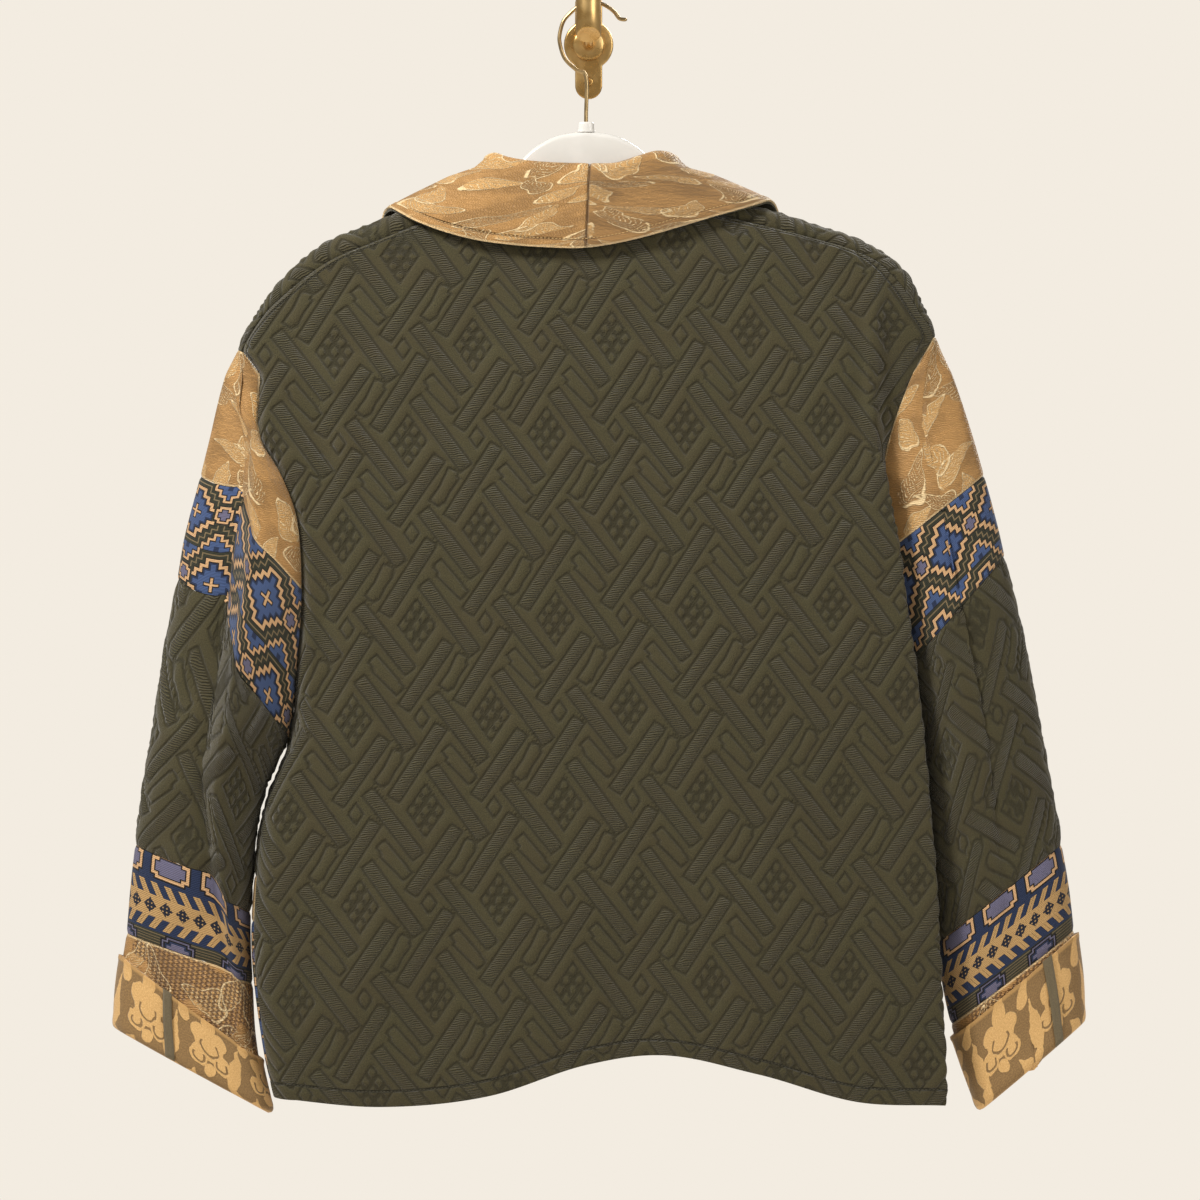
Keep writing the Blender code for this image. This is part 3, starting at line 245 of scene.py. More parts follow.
# x0, z0, x1, z1, width, height (below 0 for a trough)
BACK_CREASES = [
    (-232, -262, -205, -385, 12, -3.0), (-214, -250, -188, -360, 12, 2.5),
    (-228, -420, -215, -560, 16, -3.0), (-196, -420, -190, -600, 18, 2.4),
    (-150, -640, -205, -800, 30, 4.2), (-110, -600, -120, -845, 26, -3.4),
    (20, -700, 30, -835, 30, -5.1), (110, -660, 130, -850, 34, 4.2),
    (190, -560, 205, -800, 26, -3.4), (225, -190, 222, -330, 8, 3.5),
    (214, -210, 208, -380, 10, -2.6), (190, -200, 205, -300, 14, 2.0),
    (60, -140, 150, -330, 26, -2.0), (-60, -150, -150, -330, 26, -2.0),
    (-30, -180, -40, -420, 40, 2.0),
]
SLEEVE_CREASES = {
    "left": [
        (-300, -480, -345, -560, 10, -2.5), (-282, -540, -330, -610, 12, 2.2),
        (-318, -590, -350, -660, 12, -2.2), (-250, -400, -300, -470, 9, -1.7),
        (-290, -330, -275, -420, 8, 1.7), (-275, -690, -340, -720, 11, -1.7),
    ],
    "right": [
        (276, -470, 330, -520, 11, -2.0), (268, -380, 300, -440, 9, -1.7),
        (285, -560, 350, -610, 14, 2.0), (290, -640, 365, -655, 12, -1.7),
        (300, -300, 285, -400, 9, 1.7), (300, -720, 380, -700, 12, -1.4),
    ],
}
CUFF_CREASES = {
    "left": [(-350, -800, -300, -780, 12, -0.9), (-290, -850, -275, -800, 9, 0.8)],
    "right": [(345, -810, 390, -770, 12, -0.9), (330, -850, 325, -790, 9, 0.8)],
}
SEAM_SINK = 1.0
COLLAR_STITCH, SHOULDER_STITCH, HEM_STITCH = 7.5, 8.0, 13.0
PANEL_LOOKS = {
    "back": "olive", "front_yoke": "olive", "front_band": "gold", "front_lower": "kilim",
    "sleeve_gold": "gold", "sleeve_kilim": "kilim", "sleeve_lower": "olive", "sleeve_border": "border",
    "sleeve_end": "gold_end",
}


def colour(red, green, blue):
    """A colour as a paint chart gives it, made linear."""
    return tuple(((c / 255 + 0.055) / 1.055) ** 2.4 if c > 10 else c / 3295 for c in (red, green, blue))


OLIVE_DARK, OLIVE_LIGHT, OLIVE_WARM = colour(46, 45, 30), colour(90, 84, 57), colour(72, 63, 43)
# Painted shade in the quilting and top-stitching grooves of the olive cloth
OLIVE_GROOVE_SHADE = colour(27, 26, 18)
GOLD_DEEP, GOLD_MID, GOLD_LIGHT = colour(146, 108, 60), colour(186, 140, 82), colour(218, 172, 108)
# The darkest gold colours the scroll's dots, and is also painted shade in the stitching grooves
GOLD_DOTS_AND_GROOVE_SHADE, CREAM = colour(96, 66, 36), colour(250, 222, 172)
DAMASK_GROUND, DAMASK_GROUND_LIGHT = colour(128, 100, 64), colour(158, 126, 80)
DAMASK_LEAF, DAMASK_LEAF_LIGHT = colour(206, 162, 100), colour(232, 192, 132)
DAMASK_WIDE, DAMASK_TALL = 58.0, 92.0
# x, y, angle, half length, half width
DAMASK_LEAVES = [
    (0, 29, 90, 12, 6), (-26, 2, 108, 26, 6), (-24, -28, 60, 13, 6), (20, -30, 120, 13, 6),
    (25, 28, 75, 13, 5),
]
# x, y, radius
DAMASK_PETALS = [(0, 6, 13.5), (-9, 13, 8), (9, 13, 8), (-11, -6, 8.5), (11, -6, 8.5), (0, -15, 6)]
DAMASK_CURLS = [(-10.5, -6.5, 5), (10.5, -6.5, 5), (0, 5, 7.5)]
BROCADE_WIDE, BROCADE_TALL = 88.0, 74.0
# x, y, angle, half length, half width
BROCADE_LEAVES = [
    (-20, 14, 62, 22, 8), (2, 22, 118, 19, 7), (22, 6, 20, 21, 7.5), (-6, -12, 152, 20, 7),
    (26, -22, 100, 15, 6.5), (-32, -20, 35, 17, 7),
]
BLACK, NAVY, NAVY_DARK = colour(27, 25, 27), colour(40, 54, 88), colour(34, 38, 54)
MID_BLUE, MAUVE_BLUE = colour(74, 96, 144), colour(116, 114, 144)
PEACH, TAN = colour(228, 184, 138), colour(202, 164, 112)
GREEN_DARK, GREEN_GREY = colour(54, 56, 44), colour(140, 122, 92)
KILIM_PALE = colour(190, 185, 170)
# Pitch of the cross cords, and the near black of the painted shade between them
CORD_PITCH, CORD_SHADE = 1.3, (0.01, 0.01, 0.012)
KILIM_WIDE, KILIM_TALL = 58.0, 62.0
KILIM_CROSS = [(3.6, 20.0), (8.6, 13.6), (13.6, 8.4), (18.6, 3.6)]
# distance outside the cross, colour from there on
KILIM_BANDS = [
    (-10.0, PEACH), (-7.6, BLACK), (-6.6, MID_BLUE), (-1.6, NAVY), (0.0, BLACK), (0.9, PEACH),
    (3.5, BLACK), (4.5, GREEN_DARK), (6.9, GREEN_GREY), (8.0, GREEN_DARK), (10.2, BLACK),
    (11.0, PEACH), (13.0, BLACK), (14.0, MID_BLUE), (18.0, NAVY), (22.0, GREEN_DARK),
]
KILIM_SMALL = [(3.0, 5.6), (5.8, 2.8)]
KILIM_SMALL_BANDS = [(-6.0, MAUVE_BLUE), (-0.8, BLACK), (0.2, PEACH), (2.2, BLACK), (3.2, GREEN_DARK)]
# How far down the border each band starts, and the middle of its stripes
BORDER_EDGE, BORDER_STRIPES, BORDER_MIDDLE, BORDER_FOOT, BORDER_LINES = 21.0, 24.0, 44.5, 64.0, 66.5
BORDER_BLOCKS = [(-6.0, MAUVE_BLUE), (0.0, BLACK), (1.2, PEACH), (3.8, BLACK), (5.2, NAVY)]
BORDER_STEPS = [(-6.0, MAUVE_BLUE), (-1.5, NAVY), (0.0, BLACK), (1.4, MAUVE_BLUE), (2.6, BLACK)]
KHAKI_DARK, KHAKI = colour(96, 84, 60), colour(136, 122, 92)
# How high the finest weave of each cloth stands, in metres
QUILT_RISE, BROCADE_RISE, DAMASK_RISE, WEAVE_RISE = 0.0009, 0.0009, 0.0008, 0.0006
TWILL_RISE, THREAD_RISE = 0.0004, 0.0001
THREAD_SCALE = 2500.0   # mottling of the thread, to the metre
BACKDROP = colour(243, 236, 225)
# name, place, what it points at, power, size, tint
LIGHTS = [
    ("window_light", (-1.35, -1.35, 1.45), (0, 0, -0.5), 74, 0.7, (1.0, 0.97, 0.92)),
    ("fill_light", (1.9, -2.0, 0.4), (0, 0, -0.5), 20, 1.6, (1.0, 0.96, 0.9)),
    ("rear_light", (1.1, 1.9, 1.0), (0, 0, -0.45), 42, 1.2, (1.0, 0.97, 0.93)),
]
AIR_STRENGTH = 0.36
FLOOR_Z, FLOOR_HALF = -1.55, 2.6
CAMERA_X, CAMERA_Z, CLOTH_PLANE, CAMERA_FAR, FRAME_WIDE = 0.0092, -0.4496, -0.10, 8.0, 0.96


def curve(keys, values, at):
    """Values on the smooth line through a table's rows, each with the slope of its neighbours."""
    keys, values, at = (np.asarray(column, float) for column in (keys, values, at))
    slopes = np.gradient(values, keys)
    low = np.clip(np.searchsorted(keys, at, side="right") - 1, 0, len(keys) - 2)
    width = keys[low + 1] - keys[low]
    t = np.clip((at - keys[low]) / width, 0.0, 1.0)
    ease = t * t * (3 - 2 * t)
    return (
        values[low] * (1 - ease)
        + values[low + 1] * ease
        + width * (slopes[low] * t * (1 - t) ** 2 - slopes[low + 1] * t * t * (1 - t))
    )


def column(table, name, at):
    return curve(table["row"], table[name], at)


def bezier(ends, t):
    """Points of a cubic curve: four control points of shape (rows, 1, 3), t of shape (columns, 1)."""
    a, b, c, d = ends
    return a * (1 - t) ** 3 + 3 * b * t * (1 - t) ** 2 + 3 * c * t * t * (1 - t) + d * t ** 3


def points(x, y, z):
    return np.stack(np.broadcast_arrays(x, y, z), axis=-1).astype(float)


def circle(count):
    """Angles spaced evenly round a full turn."""
    return np.linspace(0, 2 * math.pi, count + 1)[:-1]


def unit(vectors):
    return vectors / np.maximum(np.linalg.norm(vectors, axis=-1, keepdims=True), 1e-9)


def back_rows(row):
    """The back's grid of points: a line of points for each row, from the left end to the right end."""
    row = np.atleast_1d(np.asarray(row, float))
    value = {name: column(BACK, name, row) for name in BACK if name != "row"}
    left = points(value["left x"], value["left y"], value["left z"])[:, None]
    right = points(value["right x"], value["right y"], value["right z"])[:, None]

    def on_back(x):
        """Points of the broad middle at these x."""
        span = (x - left[..., 0]) / (right[..., 0] - left[..., 0])
        across = (x - left[..., 0] - value["turn"][:, None]) / (
            value["fold x"] - value["left x"] - value["turn"]
        )[:, None]
        swell = np.clip(1 - (2 * across - 1) ** 2, 0, 1)
        y = value["edge y"][:, None] + (value["mid y"] - value["edge y"])[:, None] * swell
        z = left[..., 2] + (right[..., 2] - left[..., 2]) * span
        z = z + np.clip(1 - row / 4, 0, 1)[:, None] ** 2 * curve(HEM["x"], HEM["lift"], x)
        return points(x, y, z)

    start = (value["left x"] + value["turn"])[:, None]
    stop = value["fold x"][:, None]
    middle = on_back(start + (stop - start) * np.linspace(0, 1, MIDDLE_STEPS + 1))
    t = np.linspace(0, 1, SIDE_STEPS + 1)[:, None]
    first, last = middle[:, :1], middle[:, -1:]
    reach = (value["turn"] * 0.6)[:, None, None] * np.array([1.0, 0, 0])
    below = np.clip(1 - row / 5, 0, 1)[:, None, None] ** 0.5
    outward = left + below * [[0.0, -8.0, 0.0]] + (1 - below) * (first - left) * 0.3
    left_turn = bezier((left, outward, first - reach, first), t)
    wide = right[..., :1] - last[..., :1]
    lead = last + [[4.0, 0, 0]]
    corner = right + (last - right) * [[0.0, 0.0, 0.5]]
    corner[..., 0] = np.where(wide > 0, last[..., :1] + 2.0 + 0.2 * wide, right[..., :1] + 2.0)[..., 0]
    corner[..., 1] = right[..., 1] - np.where(wide > 0, 2.0, 9.0)[..., 0]
    right_turn = bezier((last, lead, corner, right), t)
    grid = np.concatenate([left_turn[:, :-1], middle, right_turn[:, 1:]], axis=1)
    dip = np.clip(row - 16, 0, 1)[:, None] * (1 - np.linspace(-1, 1, grid.shape[1]) ** 2)
    grid[..., 2] -= NECK_DIP * dip
    return grid


def shoulder_rows(side, row, angle):
    """The shoulder's fold: a line for each angle, from -90 on the back over 0 to 90 in front."""
    seam_x, seam_z = column(BACK, side + " x", row), column(BACK, side + " z", row)
    deep = -HANG_Y + column(BACK, side + " y", row)
    rise_x, rise_z = column(CREST, side + " x", row) - seam_x, column(CREST, side + " z", row) - seam_z
    angle = np.radians(np.asarray(angle, float))[:, None]
    return points(
        seam_x + rise_x * np.cos(angle), HANG_Y - deep * np.sin(angle), seam_z + rise_z * np.cos(angle)
    )


def front_rows(side, row, shoulder):
    """A front's grid: lines from the armhole or side seam to the neckline or front edge."""
    sign = -1.0 if side == "left" else 1.0
    row = np.atleast_1d(np.asarray(row, float))
    value = {name: column(FRONT, name, row)[:, None] for name in FRONT if name != "row"}
    value["bulge"] = value["bulge"] * (side == "left")
    x, y, z = (column(BACK, f"{side} {axis}", row)[:, None] for axis in "xyz")
    y = np.where(row[:, None] > 5, 2 * HANG_Y - y, y)
    outer = points(x, y, z)
    turned = outer + points(-sign * value["turn"], 0 * x, 0 * x)
    turned[..., 1] = value["edge y"]
    bulge = points(sign * value["bulge"], 0 * x, 0 * x)
    lean = np.clip(value["bulge"] / 6, 0, 1)[..., None]
    first = outer + bulge * 1.3 + lean * [0.0, 7.0, 0.0] + (1 - lean) * (turned - outer) * 0.3
    second = turned + bulge * 1.2 + points(sign * value["turn"] * 0.5, 0 * x, 0 * x)
    t = np.linspace(0, 1, TURN_STEPS + 1)[:, None]
    turn = bezier((outer, first, second, turned), t)
    inner = points(sign * value["inner x"], value["mid y"], value["inner z"])
    s = np.linspace(0, 1, FRONT_MIDDLE_STEPS + 1)[:, None]
    middle = turned + (inner - turned) * s
    ease = (1 - (1 - s) ** 2)[..., 0]
    middle[..., 1] = value["edge y"] + (value["mid y"] - value["edge y"]) * ease
    grid = np.concatenate([turn[:, :-1], middle], axis=1)
    chord = shoulder[0] + (shoulder[-1] - shoulder[0]) * np.linspace(0, 1, len(shoulder))[:, None]
    grid[..., 2] += value["sag"] * (shoulder - chord)[..., 2]
    return grid


def sleeve_rows(side, row):
    """A sleeve's grid: each row goes from the back armhole round the outside to the front armhole."""
    table = SLEEVE_LEFT if side == "left" else SLEEVE_RIGHT
    row = np.atleast_1d(np.asarray(row, float))
    value = {name: column(table, name, row)[:, None] for name in table if name != "row"}
    on_armhole = row[:, None] >= 5
    for axis in "xz":
        exact = column(BACK, f"{side} {axis}", np.maximum(row, 5))[:, None]
        value["inner " + axis] = np.where(on_armhole, exact, value["inner " + axis])
    seam = HANG_Y - column(BACK, f"{side} y", np.maximum(row, 5))[:, None]
    seam = np.where(on_armhole, seam, 0)
    ridge = value["ridge"]
    crest = np.array([0, 0.06, 0.2, 0.5, 1.0])
    beyond = np.array([0.14, 0.36, 0.6, 0.82, 0.95, 1.0])
    fold = 3.0 / np.abs(value["outer x"] - value["inner x"])
    a = np.concatenate(
        [ridge * crest, ridge + fold * 0.8, ridge + fold * 2.4,
         ridge + (1 - ridge) * beyond], axis=1)
    raised = np.concatenate([crest ** 0.7, [0.8, 0.12], 0 * beyond])
    a_front = np.array([0.96, 0.84, 0.62, 0.38, 0.18, 0.05, 0])
    across = np.concatenate([a, np.broadcast_to(a_front, (len(row), len(a_front)))], axis=1)
    facing = np.concatenate([-np.ones(a.shape[1] - 1), [0], np.ones(len(a_front))])
    raised = np.concatenate([raised, 0 * a_front])
    power = np.where(across < 0.5, value["round"], 0.45)
    round_part = np.clip(1 - (2 * across - 1) ** 2, 0, 1) ** power
    y = facing * (value["deep"] * round_part + seam * (1 - across)) - value["step"] * raised
    middle = HANG_Y + SLEEVE_SET_BACK[side] * np.clip(1 - (row[:, None] - 1) / 4, 0, 1)
    loose = np.concatenate(
        [0 * crest, [0.2, 0.7], np.ones(len(beyond)), np.clip(a_front / 0.6 - 0.5, 0, 1)])
    slope = across + value["slip"] * loose * (np.clip(1 - across, 0, 1) / (1 - ridge)) ** 1.3
    x = value["inner x"] + (value["outer x"] - value["inner x"]) * across
    z = value["inner z"] + (value["outer z"] - value["inner z"]) * np.clip(slope, 0, 1)
    return points(x, middle + y, z)


def armhole_top(side, count, angles):
    """The sleeve's first line: straight from the armhole's top row to the seam, then over the fold."""
    back, front = sleeve_rows(side, 11)[0][[0, -1]]
    over = shoulder_rows(side, np.array([12.0]), angles)[:, 0]
    corners = np.concatenate([[back], over, [front]])
    spare = count - len(corners)
    each = np.full(len(corners) - 1, 1)
    length = np.linalg.norm(np.diff(corners, axis=0), axis=1)
    for _ in range(spare):
        each[int(np.argmax(length / each))] += 1
    parts = [
        corners[i] + (corners[i + 1] - corners[i]) * np.arange(n)[:, None] / n
        for i, n in enumerate(each)
    ]
    return np.concatenate(parts + [corners[-1:]])


def face_crosses(grid, closed):
    """Each face's normal, as long as twice its area."""
    right = np.roll(grid, -1, axis=1) if closed else grid[:, 1:]
    left = grid if closed else grid[:, :-1]
    return np.cross(right[:-1] - left[1:], right[1:] - left[:-1])


def grid_normals(grid, closed):
    """Sums at a grid's points of the area-weighted normals of the faces round them."""
    total = np.zeros_like(grid)
    face = face_crosses(grid, closed)
    columns = np.arange(face.shape[1])
    after = (columns + 1) % grid.shape[1]
    for down in (0, 1):
        rows = slice(down, down + face.shape[0])
        total[rows, columns] += face
        total[rows, after] += face
    return total


def shared_normals(panels):
    """Normals of all panels, the same where panels meet, so that their edges are parallel."""
    sums = {}
    for panel in panels:
        panel["sum"] = grid_normals(panel["grid"], panel["closed"]) * panel["facing"]
        for key, normal in zip(map(tuple, np.round(panel["grid"].reshape(-1, 3), 3)),
                               panel["sum"].reshape(-1, 3)):
            sums[key] = sums.get(key, 0) + normal
    for panel in panels:
        keys = map(tuple, np.round(panel["grid"].reshape(-1, 3), 3))
        panel["normal"] = unit(np.array([sums[key] for key in keys]).reshape(panel["grid"].shape))


def pulled_in(grid, normal, closed, distance):
    """The grid with its border moved inwards, across the border's own direction."""
    moved = grid.copy()

    def pull(border, inside, n):
        along = np.gradient(border, axis=0)
        if closed:
            along = np.roll(border, -1, axis=0) - np.roll(border, 1, axis=0)
        inward = inside - border
        inward -= unit(along) * (inward * unit(along)).sum(-1, keepdims=True)
        inward -= n * (inward * n).sum(-1, keepdims=True)
        return unit(inward) * distance

    moved[0] += pull(grid[0], grid[1], normal[0])
    moved[-1] += pull(grid[-1], grid[-2], normal[-1])
    if not closed:
        moved[:, 0] += pull(grid[:, 0], grid[:, 1], normal[:, 0])
        moved[:, -1] += pull(grid[:, -1], grid[:, -2], normal[:, -1])
    return moved


def border_loop(index):
    """The points round a grid of indices, and each one's share of the way round its four sides."""
    ring, share = [], []
    for side, line in enumerate((index[0], index[:, -1], index[-1, ::-1], index[::-1, 0])):
        ring += list(line[:-1])
        share += list(side + np.arange(len(line) - 1) / (len(line) - 1))
    return ring, share, 4.0


def zip_loops(first, second):
    """Triangles between two loops, stepping along whichever lags behind."""
    (a, share_a, whole), (b, share_b, _) = first, second
    faces, i, j = [], 0, 0
    while i < len(a) or j < len(b):
        next_a = share_a[i + 1] if i + 1 < len(a) else whole
        next_b = share_b[j + 1] if j + 1 < len(b) else whole
        p, q = a[i % len(a)], b[j % len(b)]
        if j == len(b) or (i < len(a) and next_a <= next_b):
            i += 1
            faces.append((p, a[i % len(a)], q))
        else:
            j += 1
            faces.append((p, b[j % len(b)], q))
    return faces


def grid_faces(index, closed):
    """Quads of a grid of point numbers, wound so that columns turn into rows."""
    after = np.roll(index, -1, axis=1) if closed else index[:, 1:]
    here = index if closed else index[:, :-1]
    corners = np.stack([here[:-1], after[:-1], after[1:], here[1:]], axis=-1)
    return [tuple(face) for face in corners.reshape(-1, 4)]


def flipped(faces):
    """The faces turned over, each split along the same diagonal as before."""
    return [(face[0], *face[:0:-1]) for face in faces]


def thinned(first, last, step):
    """Every step-th number from first to last, both kept."""
    chosen = list(range(first, last, step))
    return chosen + [last]


def inner_faces(index, closed, step):
    """The plain inner side of a wall: all border points, and a coarse field of points inside them."""
    rows, columns = index.shape
    if rows < 5 or (columns < 5 and not closed):
        return grid_faces(index, closed)
    row_picks = thinned(1, rows - 2, step)
    if closed:
        field = index[row_picks][:, ::step]
        share = [list(np.arange(0, columns, n) / columns) for n in (1, step)]
        top = zip_loops((list(index[0]), share[0], 1.0), (list(field[0]), share[1], 1.0))
        foot = zip_loops((list(index[-1]), share[0], 1.0), (list(field[-1]), share[1], 1.0))
        return grid_faces(field, True) + top + flipped(foot)
    field = index[np.ix_(row_picks, thinned(1, columns - 2, step))]
    return grid_faces(field, False) + zip_loops(border_loop(index), border_loop(field))


def slanted(side, first, last, steps):
    """Lines of a sleeve's grid whose row runs from first to last, each a value per grid column."""
    dense = np.linspace(-5, 5, 81)
    grid = sleeve_rows(side, dense)[:, :-1]
    share = np.linspace(0, 1, steps + 1)[:, None]
    wanted = first + (last - first) * share
    place = np.clip((wanted + 5) / 10 * 80, 0, 79.999)
    low = place.astype(int)
    part = (place - low)[..., None]
    columns = np.arange(grid.shape[1])
    return grid[low, columns] * (1 - part) + grid[low + 1, columns] * part


def cuff_grid(side):
    """The cuff's outer face: from the turn at the sleeve's end up the outside."""
    facing = 1.0 if side == "left" else -1.0
    end = sleeve_rows(side, -5)[:, :-1]
    across = np.clip((end[0, :, 2] - end[0, :, 2].min()) / np.ptp(end[0, :, 2]), 0, 1)
    inner, outer = CUFF_TOP[side]
    top = inner + (outer - inner) * across
    lines = slanted(side, np.full(len(across), -5.0), top, CUFF_STEPS)
    outward = unit(grid_normals(lines, True)) * -facing
    down = unit(lines[0] - lines[1])
    lowest, away = lines[0], outward[0]
    turn = [
        lowest + down * CUFF_TURN - away * 1.6,
        lowest + down * CUFF_TURN + away * 1.2,
        lowest + down * CUFF_TURN * 0.5 + away * (CUFF_OFFSET - 0.5),
    ]
    return np.concatenate([turn, lines + outward * CUFF_OFFSET])


def strap_grid(side, cuff):
    """The strap lies on the cuff, from just above its upper edge down to the turn."""
    back_half = cuff[:, : cuff.shape[1] * 3 // 5]
    rows = back_half[2:]
    middle = rows[len(rows) // 2, :, 0]
    sign = -1 if side == "left" else 1
    order = np.argsort(middle * sign)
    centre = np.interp(STRAP_X[side] * sign, (middle * sign)[order], order.astype(float))
    low = int(centre)
    spacing = np.linalg.norm(rows[len(rows) // 2, low + 1] - rows[len(rows) // 2, low])
    offsets = np.array([-0.5, 0.0, 0.5]) * STRAP_WIDTH / spacing
    columns = centre + offsets
    low = np.floor(columns).astype(int)
    part = (columns - low)[None, :, None]
    grid = rows[:, low] * (1 - part) + rows[:, low + 1] * part
    above = grid[-1] + unit(grid[-1] - grid[-2]) * 1.5
    return np.concatenate([grid, above[None]])


def collar_half(side):
    """Half of the collar's middle surface: from the seam up the stand, over the roll, down the fall."""
    sign = -1.0 if side == "left" else 1.0
    table = dict(COLLAR, **(COLLAR_LEFT if side == "left" else {}))
    station = np.array(COLLAR_AT)
    value = {name: curve(table["station"], table[name], station) for name in table if name != "station"}
    sewn, roll, edge = (
        points(sign * value[k + " x"], value[k + " y"], value[k + " z"]) for k in "nre"
    )
    turn = np.radians(value["side"])
    out = points(sign * np.sin(turn), -np.cos(turn), 0 * turn)
    up = unit(roll - sewn)
    size = np.minimum(COLLAR_ROLL, np.linalg.norm(roll - sewn, axis=1) * 0.45)[:, None]
    centre = roll - up * size
    control = [sewn, sewn + (centre - out * size - sewn) * 0.5]
    control += [centre + size * (up * math.sin(a) - out * math.cos(a)) for a in ROLL_ANGLES]
    fall = centre + out * size
    control += [fall + (edge - fall) * s + out * 2.0 * math.sin(math.pi * s) for s in (0.35, 0.7)]
    return np.array(control + [edge])


def collar_grid():
    left, right = collar_half("left"), collar_half("right")
    middle = (left[:, :1] + right[:, :1]) / 2
    return np.concatenate([left[:, :0:-1], middle, right[:, 1:]], axis=1)


# The cloth's fine form


def smooth_line(values, at, keys):
    """Values on smooth lines through the first axis of an array, at fractional places along it."""
    slopes = np.gradient(values, keys, axis=0)
    low = np.clip(np.floor(at).astype(int), 0, len(values) - 2)
    t = (at - low).reshape((-1,) + (1,) * (values.ndim - 1))
    wide = (keys[low + 1] - keys[low]).reshape(t.shape)
    ease = t * t * (3 - 2 * t)
    return (values[low] * (1 - ease) + values[low + 1] * ease
            + wide * (slopes[low] * t * (1 - t) ** 2 - slopes[low + 1] * t * t * (1 - t)))


def places(counts):
    """Fractional grid places, with counts[i] steps between point i and the next."""
    steps = [i + np.arange(n) / n for i, n in enumerate(counts)]
    return np.concatenate(steps + [[len(counts)]])


def line_keys(grid):
    """Each line's place along the first axis, by the usual distance between lines."""
    size = np.linalg.norm(np.diff(grid, axis=0), axis=-1).mean(axis=1)
    return np.concatenate([[0.0], np.cumsum(np.maximum(size, 0.05))])


def refine(grid, down, across, closed):
    """A finer grid through the same points."""
    grid = smooth_line(grid, places(down), line_keys(grid))
    turned = grid.swapaxes(0, 1)
    if not closed:
        return smooth_line(turned, places(across), line_keys(turned)).swapaxes(0, 1)
    turned = np.concatenate([turned[-3:], turned, turned[:3]])
    return smooth_line(turned, places(across)[:-1] + 3, line_keys(turned)).swapaxes(0, 1)


def arc(grid, axis):
    """Distance along each line of a grid, from its first point."""
    steps = np.linalg.norm(np.diff(grid, axis=axis), axis=-1)
    zero = np.zeros_like(np.take(steps, [0], axis=axis))
    return np.concatenate([zero, np.cumsum(steps, axis=axis)], axis=axis)


def edges(grid, closed):
    """How far each point is from the grid's four borders."""
    down, across = arc(grid, 0), arc(grid, 1)
    far = np.full(grid.shape[:2], NO_EDGE)
    return {
        "start": down, "stop": down[-1:] - down,
        "left": far if closed else across, "right": far if closed else across[:, -1:] - across,
    }


def nearest_edge(distance):
    return np.minimum.reduce(list(distance.values()))


def step_up(low, high, values):
    t = np.clip((values - low) / (high - low), 0, 1)
    return t * t * (3 - 2 * t)


def bar_distance(x, z, bar):
    """Distance outside a long bar, below 0 inside it."""
    place_x, place_z, run, rise, half, wide = bar
    size = math.hypot(run, rise)
    along = ((x - place_x) * run + (z - place_z) * rise) / size
    beside = ((z - place_z) * run - (x - place_x) * rise) / size
    return np.maximum(np.abs(beside) - wide, np.abs(along) - half)


def lozenge_distance(x, z, lozenge):
    place_x, place_z, wide, tall = lozenge
    return (np.abs(x - place_x) / wide + np.abs(z - place_z) / tall - 1) * 0.85 * wide


def quilt_field(u, v):
    """Distance outside the nearest quilted shape, and how deep inside a ribbed bar each place is."""
    across, down = np.array(QUILT_ACROSS), np.array(QUILT_DOWN)
    inverse = np.linalg.inv(np.array([across, down]).T)
    near = np.round(np.stack([u - QUILT_START[0], v - QUILT_START[1]], axis=-1) @ inverse.T)
    shape, ribbed = np.full(u.shape, 99.0), np.full(u.shape, 99.0)
    for i in (-1, 0, 1):
        for j in (-1, 0, 1):
            home = (near + [i, j]) @ np.array([across, down]) + QUILT_START
            x, z = u - home[..., 0], v - home[..., 1]
            for bar in RIBBED_BARS:
                ribbed = np.minimum(ribbed, bar_distance(x, z, bar))
            for bar in PLAIN_BARS:
                shape = np.minimum(shape, bar_distance(x, z, bar))
            for lozenge in LOZENGES:
                shape = np.minimum(shape, lozenge_distance(x, z, lozenge))
    return np.minimum(shape, ribbed), -ribbed


def puffed(distance):
    """Height of the padding over the stitched lines round each shape, inside and outside it."""
    inside = np.clip(-distance / 4.2, 0, 1) ** 0.6
    return inside + 0.85 * np.clip(distance / 4.2, 0, 1) ** 0.6


def creases(grid, normal, table):
    """The grid moved along its normals by soft ridges and troughs."""
    moved = np.zeros(grid.shape[:2])
    for x0, z0, x1, z1, wide, high in table:
        run, rise = x1 - x0, z1 - z0
        long = math.hypot(run, rise)
        along = ((grid[..., 0] - x0) * run + (grid[..., 2] - z0) * rise) / long
        bow = 0.06 * long * np.sin(math.pi * np.clip(along / long, 0, 1))
        beside = ((grid[..., 2] - z0) * run - (grid[..., 0] - x0) * rise) / long - bow
        fade = [step_up(-0.12 * long, 0.35 * long, place) for place in (along, long - along)]
        moved += high * np.exp(-((beside / wide) ** 2)) * (fade[0] * fade[1])
    return grid + normal * moved[..., None]


def cloth_places(grid, upright=False):
    """Each point's place on the flat cloth: X to the right and Z up where it hangs upright."""
    middle = grid.shape[1] // 2
    across = arc(grid, 1)
    if upright:
        u = grid[:, middle:middle + 1, 0] + across - across[:, middle:middle + 1]
        return u, grid[..., 2].copy()
    down = arc(grid, 0).mean(axis=1, keepdims=True)
    u = across - across[:, middle:middle + 1]
    return u, np.broadcast_to(-down, u.shape).copy()


